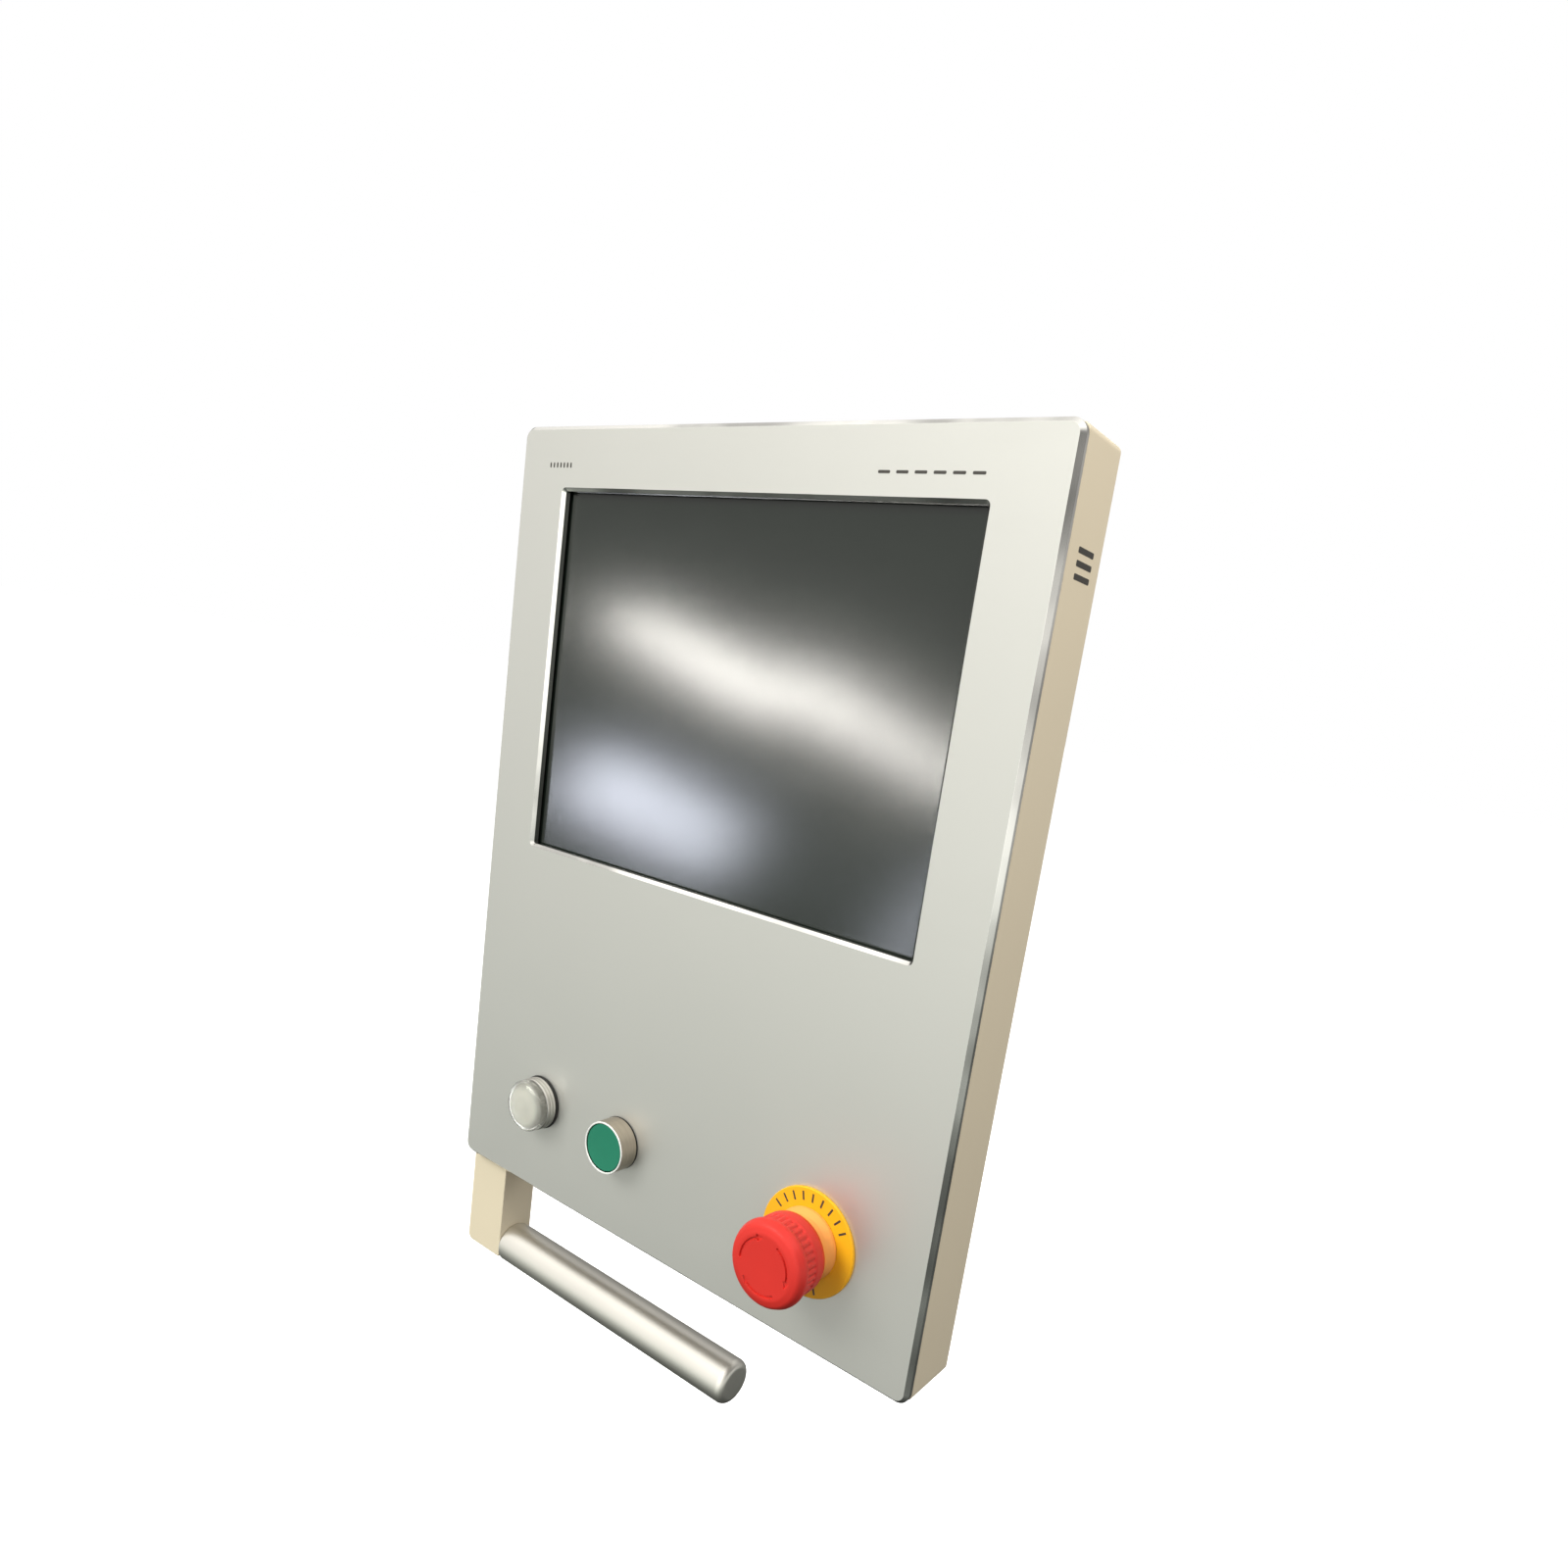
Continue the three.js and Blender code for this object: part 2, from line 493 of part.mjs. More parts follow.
add("estop_head", stopHead(), RED, stop);
add("estop_stem", turned([[0, HEAD_BORE + RUN], [BOSS, HEAD_BORE + RUN], [BOSS, -13.6], [8.4, -13.6],
  [8.4, -12.4], [STEM, -12.4], [STEM, BARREL_END + 0.4], [0, BARREL_END + 0.4]], 24), GREY_PLASTIC, stop);
add("estop_spring", coil(7.2, 0.6, -12.2, POCKET_END - FIT, 6), STEEL, stop);
add("estop_collar", turned([[9, -11.6], [15, -11.6], [STOP.collar, -1.9], [BARREL, -1.9],
  [BARREL, BARREL_END], [STEM + RUN, BARREL_END], [STEM + RUN, POCKET_END], [9, POCKET_END],
  [9, -11.6]]), ORANGE, stop);
add("estop_legend", ring(STOP.legend, BARREL + FIT, -1.7, -0.1, 40), YELLOW, stop);
add("estop_nut", nut(NUT.radius + 1, NUT.bore, NUT.thick + 1), GREY_PLASTIC, stop, 0, nutFront);
add("estop_contact_block", switchBlock(STEM + 0.8, BARREL_END + 6.5), GREY_PLASTIC, stop);

// ---------------------------------------------------------------- handle
// Its origin is on the bar's axis, in the middle of the arm's width.
const armTop = BAR.drop;
const handle = group(body, ARM_X, BAR_Y, -caseHeight / 2 - FIT - BAR.drop);
const barStart = ARM.width / 2 + FIT;

// Round along X, between two X values.
function roundX(radius, from, to, sides = 16) {
  const geometry = new THREE.CylinderGeometry(radius, radius, to - from, sides);
  return solid(geometry.rotateZ(Math.PI / 2).translate((from + to) / 2, 0, 0));
}

// The arm is the common part of its front outline and its side outline.
function handleArm() {
  const tall = ARM.reach + 20;
  const middle = armTop + 20 - tall / 2;
  const face = slab(outline(ARM.width, tall, ARM.corner, 0, middle), -20, 20);
  const side = new THREE.ExtrudeGeometry(outline(ARM.depth, tall, ARM.edge),
    { depth: 60, bevelEnabled: false, curveSegments: 4 });
  side.rotateX(Math.PI / 2).rotateZ(Math.PI / 2).translate(-30, 0, middle);
  const above = box(60, 60, 40, 0, 0, armTop + 20);
  const taps = HANDLE_SCREWS.map((x) => solid(new THREE.CylinderGeometry(2.4, 2.4, 30, 16)
    .rotateX(Math.PI / 2).translate(x - ARM_X, 0, armTop)));
  const bore = roundX(GRIP_BOLT.bore, -20, 20);
  const headBore = roundX(GRIP_BOLT.headBore, -20, -GRIP_BOLT.seat, 24);
  return cut(face.intersect(solid(side)), above, bore, headBore, ...taps);
}

function gripBar() {
  const { radius, length, edge } = BAR;
  const nose = quarter(radius, length - edge, radius - edge, length, 4, false);
  const points = [[0, 0], [radius - 0.5, 0], [radius, 0.5], ...nose, [0, length]];
  const profile = points.map(([r, along]) => new THREE.Vector2(r, along));
  const blank = solid(new THREE.LatheGeometry(profile, 28).rotateZ(-Math.PI / 2).translate(barStart, 0, 0));
  return cut(blank, roundX(GRIP_BOLT.bore, barStart - 1, barStart + GRIP_BOLT.depth + 2));
}

function gripBolt() {
  const { shank, head, socket, seat, depth } = GRIP_BOLT;
  const blank = join(roundX(head, -12.2, -seat - 0.2, 24), roundX(shank, -seat - 1, barStart + depth, 20));
  return cut(blank, roundX(socket, -15, -9, 6));
}

// A cap screw from inside the housing, pointing down. Its seat is at height 0.
function handleScrew() {
  const upright = (radius, from, to, sides) =>
    solid(new THREE.CylinderGeometry(radius, radius, to - from, sides)
      .rotateX(Math.PI / 2).translate(0, 0, (from + to) / 2));
  return cut(join(upright(4, 0, 3, 20), upright(2, -15.5, 0.5, 16)), upright(1.7, 1.3, 4.3, 6));
}

add("handle_arm", handleArm(), PAINT, handle);
add("grip_bar", gripBar(), STEEL, handle);
add("grip_bolt", gripBolt(), ZINC, handle);
HANDLE_SCREWS.forEach((x, i) =>
  add(`handle_screw_${i + 1}`, handleScrew(), ZINC, body, x, BAR_Y, WALL + FIT - caseHeight / 2));

export default panel;
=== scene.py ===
import math

import bmesh
import bpy
from bpy.props import FloatProperty, FloatVectorProperty, IntProperty, PointerProperty
from mathutils import Matrix, Quaternion, Vector


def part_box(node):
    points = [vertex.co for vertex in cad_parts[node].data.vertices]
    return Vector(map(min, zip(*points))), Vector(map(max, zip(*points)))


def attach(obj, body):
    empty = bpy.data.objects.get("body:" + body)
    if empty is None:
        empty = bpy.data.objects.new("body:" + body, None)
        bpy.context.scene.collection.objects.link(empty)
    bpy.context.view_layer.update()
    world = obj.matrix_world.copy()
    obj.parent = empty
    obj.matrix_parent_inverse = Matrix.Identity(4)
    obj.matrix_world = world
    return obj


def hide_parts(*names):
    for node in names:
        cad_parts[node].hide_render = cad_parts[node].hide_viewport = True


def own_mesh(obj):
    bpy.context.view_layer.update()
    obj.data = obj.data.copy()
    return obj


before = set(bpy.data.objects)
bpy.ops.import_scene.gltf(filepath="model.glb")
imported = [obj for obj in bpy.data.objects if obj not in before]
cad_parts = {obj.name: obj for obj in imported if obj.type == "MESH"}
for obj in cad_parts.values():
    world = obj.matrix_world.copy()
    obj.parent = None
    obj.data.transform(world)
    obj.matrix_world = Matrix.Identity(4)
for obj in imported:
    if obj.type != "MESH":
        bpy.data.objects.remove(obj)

bl_info = {
    "name": "Operator touch panel",
    "version": (1, 0, 0),
    "blender": (4, 5, 0),
    "location": "3D View > Sidebar > Touch panel",
    "description": "Finishes the packed operator touch panel: metalwork, screen, controls and grip",
    "category": "Object",
}

MM = 0.001
PLATE_LOW, PLATE_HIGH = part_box("front_plate")
FRONT = PLATE_LOW.y  # the plate's front face; depths are counted from here towards the back
PLATE_THICK = 4.2 * MM
CONTROL_BORE = 11.2 * MM  # radius of the plate's holes for the controls
BOLT_BORE = 3.2 * MM  # radius of the grip bolt's hole in the arm and the bar
PITCH = 0.7  # of the visible threads, in mm
INK_FRONT, INK_BACK = -0.04 * MM, 0.01 * MM  # depths between which printed ink lies
LEAST_CORNER = 0.15 * MM
SIGNS = ((-1, 1), (1, 1), (-1, -1), (1, -1))  # the four corners, seen from the front


def middle(node):
    """The middle of a CAD piece's box."""
    low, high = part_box(node)
    return (low + high) / 2


def depths(node, unit=1.0):
    """How far behind the plate's front face a CAD piece starts and ends."""
    low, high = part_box(node)
    return (low.y - FRONT) / unit, (high.y - FRONT) / unit


# ---------------------------------------------------------------- sizes and colours to play with

def size_property(name, description, default):
    return FloatProperty(name=name, description=description, default=default, min=0.0,
                         unit="LENGTH", subtype="DISTANCE", precision=5)


def colour_property(name, description, default):
    return FloatVectorProperty(name=name, description=description, default=default, size=3,
                               min=0.0, max=1.0, subtype="COLOR")


class PanelSizes(bpy.types.PropertyGroup):
    """Sizes of the panel's fine shapes."""

    plate_corner: size_property("Plate corner", "Radius of the front plate's corners", 6.5 * MM)
    plate_chamfer: size_property("Plate chamfer", "Width of the polished chamfers", 2 * MM)
    window_width: size_property("Window width", "Clear width of the screen's window", 249 * MM)
    window_height: size_property("Window height", "Clear height of the screen's window", 186 * MM)
    window_top: size_property("Window top", "Distance of the window below the plate's top", 32 * MM)
    case_corner: size_property("Case corner", "Radius of the housing's corners", 3.5 * MM)
    wall: size_property("Sheet", "Thickness of the housing's sheet metal", 1.5 * MM)
    edge: size_property("Edge", "Radius of the broken edges of painted sheet", 0.5 * MM)
    flute_depth: size_property("Flute depth", "Depth of the flutes in the stop button's waist", 0.6 * MM)
    arrow_ring: size_property("Arrow ring", "Radius of the ring of engraved arrows", 13.2 * MM)
    arrow_depth: size_property("Arrow depth", "Depth of the engraved arrows", 0.8 * MM)
    flutes: IntProperty(name="Flutes", description="Flutes round the stop button's waist", default=36,
                        min=12, max=60)


class PanelColours(bpy.types.PropertyGroup):
    """Base colours of the panel's finishes."""

    plate: colour_property("Plate", "Satin anodised aluminium of the front plate", (0.61, 0.607, 0.575))
    polish: colour_property("Polished edge", "Bare polished aluminium of the chamfers", (0.80, 0.79, 0.76))
    paint: colour_property("Paint", "Beige powder coat of the housing", (0.70, 0.615, 0.455))
    screen: colour_property("Screen", "Film of the switched-off screen", (0.008, 0.012, 0.009))
    steel: colour_property("Steel", "Satin stainless steel", (0.74, 0.72, 0.67))
    nickel: colour_property("Nickel", "Satin nickel of the start button's bezel", (0.44, 0.39, 0.32))
    zinc: colour_property("Zinc", "Bright zinc plate of screws and nuts", (0.62, 0.64, 0.66))
    lens: colour_property("Lens", "White diffuser of the pilot light", (0.54, 0.53, 0.485))
    green: colour_property("Green", "Start button's cap", (0.009, 0.175, 0.1))
    red: colour_property("Red", "Stop button's head", (0.62, 0.026, 0.018))
    yellow: colour_property("Yellow", "Stop button's legend", (0.88, 0.44, 0.012))
    orange: colour_property("Light orange", "Stop button's collar", (0.86, 0.37, 0.09))
    ink: colour_property("Ink", "Printed marks", (0.036, 0.033, 0.029))
    rubber: colour_property("Rubber", "Gaskets and the cable membrane", (0.022, 0.022, 0.021))
    grey: colour_property("Grey", "Switch blocks, nuts and stems inside", (0.05, 0.052, 0.055))
    white: colour_property("White", "Backlight and plunger inside", (0.78, 0.77, 0.73))
    floor: colour_property("Floor", "Studio floor", (0.9, 0.9, 0.89))


def colours():
    return bpy.context.scene.touch_panel_colours


# ---------------------------------------------------------------- writing a finish as a formula

def worked(operation, swapped=False):
    """A sum of two numbers that are on their way through the nodes."""

    def work(self, other):
        terms = (other, self) if swapped else (self, other)
        return self.nodes.node("ShaderNodeMath", {"operation": operation}, dict(enumerate(terms)))

    return work


class Value:
    """A number, colour or vector on its way through the nodes. Numbers can be added and multiplied."""

    def __init__(self, nodes, socket):
        self.nodes = nodes
        self.socket = socket

    __add__ = worked("ADD")
    __radd__ = worked("ADD", True)
    __rsub__ = worked("SUBTRACT", True)
    __mul__ = worked("MULTIPLY")
    __rmul__ = worked("MULTIPLY", True)

    def between(self, low, high):
        """0 below low, 1 above high and smooth in between."""
        return self.nodes.node("ShaderNodeMapRange", {"interpolation_type": "SMOOTHSTEP", "clamp": True},
                               {"Value": self, "From Min": low, "From Max": high})


class Nodes:
    """The nodes of a material or of the sky."""

    def __init__(self, owner):
        owner.use_nodes = True
        self.tree = owner.node_tree
        self.tree.nodes.clear()

    def feed(self, node, socket, value):
        target = node.inputs[socket]
        if isinstance(value, Value):
            self.tree.links.new(value.socket, target)
        elif target.type == "RGBA":
            target.default_value = (*value[:3], 1.0)
        else:
            target.default_value = value

    def node(self, kind, settings=None, inputs=None, output=0):
        """Adds a node: its type, its settings, then the values or links of its sockets."""
        made = self.tree.nodes.new(kind)
        for setting, value in (settings or {}).items():
            setattr(made, setting, value)
        for socket, value in (inputs or {}).items():
            self.feed(made, socket, value)
        return Value(self, made.outputs[output])

    def axis(self, place, name):
        return self.node("ShaderNodeSeparateXYZ", None, {0: place}, name)

    def blend(self, amount, first, second):
        """A colour between two colours."""
        return self.node("ShaderNodeMix", {"data_type": "RGBA"}, {0: amount, 6: first, 7: second}, 2)


class Finish(Nodes):
    """A material in the making."""

    def __init__(self, name, constants):
        self.material = bpy.data.materials.new(name)
        super().__init__(self.material)
        output = self.tree.nodes.new("ShaderNodeOutputMaterial")
        self.surface = self.tree.nodes.new("ShaderNodeBsdfPrincipled")
        self.tree.links.new(self.surface.outputs[0], output.inputs[0])
        for socket, value in constants.items():
            self.feed(self.surface, socket.replace("_", " "), value)

    def place(self, scale=(1.0, 1.0, 1.0), centre=(0.0, 0.0, 0.0)):
        """Where a point of the piece is, in metres from a centre, stretched along the axes."""
        here = self.node("ShaderNodeTexCoord", output="Object")
        moved = self.node("ShaderNodeVectorMath", {"operation": "SUBTRACT"}, {0: here, 1: centre})
        return self.node("ShaderNodeVectorMath", {"operation": "MULTIPLY"}, {0: moved, 1: scale})

    def noise(self, scale, place=None, detail=3.0, roughness=0.5):
        inputs = {"Scale": scale, "Detail": detail, "Roughness": roughness,
                  "Vector": place or self.place()}
        return self.node("ShaderNodeTexNoise", None, inputs)

    def relief(self, height, depth, strength):
        """Feeds a height pattern, of a depth in micrometres, to the surface normal."""
        inputs = {"Height": height, "Distance": depth * MM * MM, "Strength": strength}
        self.feed(self.surface, "Normal", self.node("ShaderNodeBump", None, inputs))

    def paint(self, pattern, first, second, roughness):
        """A base colour that a pattern takes from one colour to another, and a roughness."""
        self.feed(self.surface, "Base Color", self.blend(pattern, first, second))
        self.feed(self.surface, "Roughness", roughness)

    def tint(self, pattern, base, least, most, roughness):
        """The same, with two shades of one colour."""
        self.paint(pattern, shade(base, least), shade(base, most), roughness)


def shade(colour, factor):
    return tuple(min(1.0, part * factor) for part in colour[:3])


PAINTERS = {}
_finishes = {}


def painter(**constants):
    """Marks a function that paints the finish of its own name, and says that finish's constant inputs."""

    def mark(paint):
        PAINTERS[paint.__name__] = (paint, constants)
        return paint

    return mark


def finish(name):
    """The finish of that name, made once."""
    if name not in _finishes:
        paint, constants = PAINTERS[name]
        look = Finish(name, constants)
        paint(look)
        _finishes[name] = look.material
    return _finishes[name]


@painter(Metallic=0.78)
def satin_aluminium(look):
    """Fine satin anodised face: an even grey with faint cloudiness and a little grain."""
    cloud = look.noise(9.0, detail=4.0)
    grain = look.noise(2600.0, detail=2.0)
    wiped = look.noise(30.0, look.place((0.35, 1.0, 1.6)), 5.0, 0.6).between(0.5, 0.78)
    look.relief(grain, 30, 0.35)
    look.tint(cloud, colours().plate, 0.965, 1.03, 0.43 + 0.05 * cloud + 0.04 * wiped + 0.04 * grain)


@painter(Metallic=1.0)
def polished_edge(look):
    """Diamond-turned chamfer with faint tool lines, whose colour holds painted reflections: bright in
    places and dark in others.
    """
    lines = look.noise(2400.0, look.place((0.02, 1.0, 0.02)), 2.0)
    cloud = look.noise(13.0)
    look.relief(lines, 20, 0.25)
    # painted reflections: a large cloud darkens the polished colour in places, standing in for darker
    # surroundings mirrored in the chamfer
    look.tint(cloud.between(0.38, 0.6), colours().polish, 0.45, 1.05, 0.12 + 0.12 * cloud)


@painter(Specular_IOR_Level=0.45)
def powder_coat(look):
    """Semi-matt powder coat with a fine orange peel and a trace of handling."""
    peel = look.noise(520.0, detail=2.0, roughness=0.4)
    grain = look.noise(3000.0, detail=1.0)
    cloud = look.noise(7.0, detail=4.0)
    look.relief(peel + 0.25 * grain, 60, 0.5)
    look.tint(cloud, colours().paint, 0.96, 1.035, 0.42 + 0.12 * cloud + 0.04 * peel)


@painter(Specular_IOR_Level=0.36)
def screen_film(look):
    """Anti-glare film over a dark display: soft reflections and a very fine sparkle."""
    sparkle = look.noise(5200.0, detail=1.0)
    smear = look.noise(16.0, look.place((0.6, 1.0, 1.3)), 5.0, 0.62)
    look.relief(sparkle, 20, 0.3)
    look.tint(smear, colours().screen, 0.85, 1.2, 0.125 + 0.045 * smear + 0.03 * sparkle)


@painter(Specular_IOR_Level=0.3)
def black_rubber(look):
    """Matt rubber with a little dust in its grain."""
    dust = look.noise(260.0, detail=4.0)
    look.relief(look.noise(1800.0), 80, 0.5)
    look.tint(dust.between(0.45, 0.85), colours().rubber, 1.0, 2.4, 0.72 + 0.16 * dust)


def moulded(colour, roughness, grain=1700.0):
    """Adds a moulded plastic: even colour, a fine spark-eroded grain and a softly varied gloss."""

    def paint(look):
        cloud = look.noise(60.0)
        fine = look.noise(grain, detail=2.0)
        look.relief(fine, 50, 0.4)
        look.tint(cloud, getattr(colours(), colour), 0.93, 1.06, roughness + 0.1 * cloud + 0.05 * fine)

    PAINTERS[f"{colour}_plastic"] = (paint, {"Specular_IOR_Level": 0.45})


moulded("green", 0.36)
moulded("red", 0.36, 1500.0)
moulded("yellow", 0.44)
moulded("orange", 0.46)
moulded("grey", 0.5, 1200.0)
moulded("white", 0.42)


def turned_metal(look, base, node, roughness):
    """Metal turned on a lathe: fine rings round the axis of a CAD piece."""
    rings = look.noise(1500.0, look.place((0.06, 1.0, 0.06), tuple(middle(node))), 3.0, 0.65)
    cloud = look.noise(45.0)
    look.relief(rings, 30, 0.5)
    look.tint(rings, base, 0.72, 1.22, roughness + 0.12 * rings + 0.08 * cloud)


@painter(Metallic=1.0, Anisotropic=0.4)
def nickel_rings(look):
    turned_metal(look, colours().nickel, "start_bezel", 0.22)


@painter(Metallic=1.0, Anisotropic=0.4)
def steel_rings(look):
    turned_metal(look, shade(colours().steel, 0.72), "pilot_bezel", 0.24)


@painter(Metallic=0.35)
def bright_rim(look):
    """Rim of the start button's bezel: polished, with a painted highlight in its pale near-white colour."""
    rings = look.noise(1500.0, look.place((0.06, 1.0, 0.06)))
    look.relief(rings, 20, 0.3)
    # painted highlight: a near-white, half-matt colour stands in for the light that the rim catches
    look.paint(rings, (0.86, 0.85, 0.82), (0.97, 0.96, 0.94), 0.2 + 0.1 * rings)


@painter(Metallic=1.0)
def satin_bar(look):
    """Bead-blasted stainless bar: satin with a broad soft gloss and a trace of length-wise polish."""
    blast = look.noise(2100.0, detail=2.0)
    lines = look.noise(900.0, look.place((0.03, 1.0, 1.0)), 3.0, 0.6)
    cloud = look.noise(14.0, detail=4.0)
    look.relief(blast + 0.3 * lines, 30, 0.4)
    look.tint(cloud, colours().steel, 0.93, 1.07, 0.37 + 0.06 * lines + 0.05 * cloud)


@painter(Metallic=1.0)
def brushed_flat(look):
    """Rolled and brushed steel plate."""
    lines = look.noise(1100.0, look.place((0.02, 1.0, 1.0)), 3.0, 0.6)
    cloud = look.noise(18.0, detail=4.0)
    look.relief(lines, 30, 0.5)
    look.tint(lines, shade(colours().steel, 1.1), 0.85, 1.1, 0.3 + 0.14 * lines + 0.08 * cloud)


@painter(Metallic=1.0)
def zinc_plate(look):
    """Bright zinc plate with a slight blue and yellow bloom."""
    bloom = look.noise(110.0)
    red, green, blue = colours().zinc
    look.relief(look.noise(1500.0), 30, 0.4)
    look.paint(bloom, (red, green, blue), (red * 1.04, green, blue * 0.9), 0.26 + 0.16 * bloom)


@painter(IOR=1.49, Transmission_Weight=1.0, Specular_IOR_Level=0.5)
def clear_plastic(look):
    cloud = look.noise(80.0)
    look.paint(cloud, (0.84, 0.85, 0.82), (0.88, 0.88, 0.85), 0.07 + 0.06 * cloud)


@painter(Specular_IOR_Level=0.5)
def white_diffuser(look):
    """Ribbed white diffuser behind the pilot light's clear cap, with painted shade that darkens it near its
    rim.
    """
    here = look.place((1.0, 0.0, 1.0), tuple(middle("pilot_lens")))
    out = look.node("ShaderNodeVectorMath", {"operation": "LENGTH"}, {0: here}, "Value")
    cloud = look.noise(70.0)
    look.relief(look.noise(1600.0), 40, 0.4)
    # painted shade: the colour falls to half from the middle out to the rim
    look.tint(out.between(8.6 * MM, 12.4 * MM), colours().lens, 1.0, 0.5, 0.3 + 0.12 * cloud)


@painter(Specular_IOR_Level=0.4)
def printed_ink(look):
    weave = look.noise(1300.0, detail=2.0)
    look.tint(weave, colours().ink, 1.0, 1.5, 0.48 + 0.12 * weave)


@painter(Specular_IOR_Level=0.5)
def circuit_board(look):
    """Solder mask over copper: darker tracks on a grid, with pale pads."""
    cells = look.node("ShaderNodeTexVoronoi", {"distance": "MANHATTAN"},
                      {"Scale": 260.0, "Randomness": 0.6, "Vector": look.place()})
    tracks = look.noise(420.0, look.place((0.25, 1.0, 1.0)), 1.0).between(0.48, 0.54)
    pads = 1 - cells.between(0.12, 0.16)
    mask = look.blend(tracks, (0.012, 0.09, 0.045), (0.03, 0.19, 0.09))
    look.paint(pads * 0.7, mask, (0.6, 0.58, 0.5), 0.38 + 0.2 * tracks)


@painter(Specular_IOR_Level=0.5)
def dark_polariser(look):
    cloud = look.noise(30.0)
    look.paint(cloud, (0.008, 0.009, 0.011), (0.014, 0.016, 0.02), 0.12 + 0.06 * cloud)


@painter(Metallic=1.0)
def bare_aluminium(look):
    lines = look.noise(800.0, look.place((1.0, 1.0, 0.04)))
    look.relief(lines, 30, 0.5)
    look.paint(lines, (0.5, 0.51, 0.53), (0.66, 0.67, 0.68), 0.38 + 0.15 * lines)


@painter(Specular_IOR_Level=0.55)
def amber_film(look):
    lanes = look.node("ShaderNodeTexWave", {"bands_direction": "X", "wave_profile": "SIN"},
                      {"Scale": 160.0, "Vector": look.place()})
    look.paint(lanes, (0.42, 0.2, 0.04), (0.62, 0.36, 0.1), 0.3 + 0.1 * lanes)


@painter(Specular_IOR_Level=0.0, Emission_Color=(1.0, 1.0, 1.0), Emission_Strength=0.6)
def studio_floor(look):
    cloud = look.noise(1.2)
    look.tint(cloud, colours().floor, 0.985, 1.0, 0.7 + 0.1 * cloud)


# ---------------------------------------------------------------- outlines and profiles

def rounded_outline(width, height, radius, x=0.0, z=0.0, steps=8, corners=(1, 1, 1, 1)):
    """An outline in X and Z as a function of how far it is grown. corners scales the radius at the
    top right, top left, bottom left and bottom right."""

    def points(grow=0.0):
        half_w, half_h = width / 2 + grow, height / 2 + grow
        ring = []
        for i, (sx, sz) in enumerate(((1, 1), (-1, 1), (-1, -1), (1, -1))):
            r = max(radius * corners[i] + grow, LEAST_CORNER)
            cx, cz = x + sx * (half_w - r), z + sz * (half_h - r)
            for k in range(steps + 1):
                angle = math.pi / 2 * (i + k / steps)
                ring.append((cx + r * math.cos(angle), cz + r * math.sin(angle)))
        return ring

    return points


def outline_of(node, radius, steps=8, corners=(1, 1, 1, 1)):
    """The rounded outline of a CAD piece's box."""
    low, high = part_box(node)
    centre = middle(node)
    return rounded_outline(high.x - low.x, high.z - low.z, radius, centre.x, centre.z, steps, corners)


def round_outline(radius, x, z, steps):
    def points(grow=0.0):
        return [(x + (radius + grow) * math.cos(math.tau * k / steps),
                 z + (radius + grow) * math.sin(math.tau * k / steps)) for k in range(steps)]

    return points


def round_at(node, radius, steps):
    """A round outline about the middle of a CAD piece."""
    centre = middle(node)
    return round_outline(radius, centre.x, centre.z, steps)


def softened(corners, closed=False, steps=4, unit=1.0):
    """Points (across, along) from corners (across, along, radius), each corner rounded to its radius."""
    corners = [[part * unit for part in corner] for corner in corners]
    points = []
    count = len(corners)
    for i, (across, along, radius) in enumerate(corners):
        here = Vector((across, along))
        if not radius or (not closed and i in (0, count - 1)):
            points.append((across, along))
            continue
        before = Vector(corners[i - 1][:2]) - here
        after = Vector(corners[(i + 1) % count][:2]) - here
        half = before.angle(after) / 2
        reach = min(radius / math.tan(half), 0.49 * before.length, 0.49 * after.length)
        before.normalize()
        after.normalize()
        centre = here + (before + after).normalized() * (reach / math.cos(half))
        start, end = here + before * reach - centre, here + after * reach - centre
        sweep = start.angle(end)
        for k in range(steps + 1):
            t = k / steps
            spoke = (start * math.sin((1 - t) * sweep) + end * math.sin(t * sweep)) / math.sin(sweep)
            points.append(tuple(centre + spoke))
    return points


def divided(points, longest):
    """The same line with more points, so that none lie further apart than longest."""
    line = [points[0]]
    for a, b in zip(points, points[1:]):
        parts = max(1, math.ceil(math.dist(a, b) / longest))
        line += [(a[0] + (b[0] - a[0]) * k / parts, a[1] + (b[1] - a[1]) * k / parts)
                 for k in range(1, parts + 1)]
    return line


def smooth_step(value, low, high):
    t = min(1.0, max(0.0, (value - low) / (high - low)))
    return t * t * (3 - 2 * t)


def edge_steps(front, rear, round_front, round_rear, side=1, steps=3):
    """(grow, depth) steps for a wall whose two ends are rounded. side is 1 for an outer wall, -1 for
    the wall of a hole."""
    path = []
    for k in range(steps + 1):
        angle = math.pi / 2 * k / steps
        path.append((-side * round_front * (1 - math.sin(angle)),
                     front + round_front * (1 - math.cos(angle))))
    for k in range(steps + 1):
        angle = math.pi / 2 * k / steps
        path.append((-side * round_rear * (1 - math.cos(angle)),
                     rear - round_rear * (1 - math.sin(angle))))
    return path


def hole_steps(front, rear, round_front, round_rear):
    return edge_steps(front, rear, round_front, round_rear, -1, 2)


# ---------------------------------------------------------------- making meshes

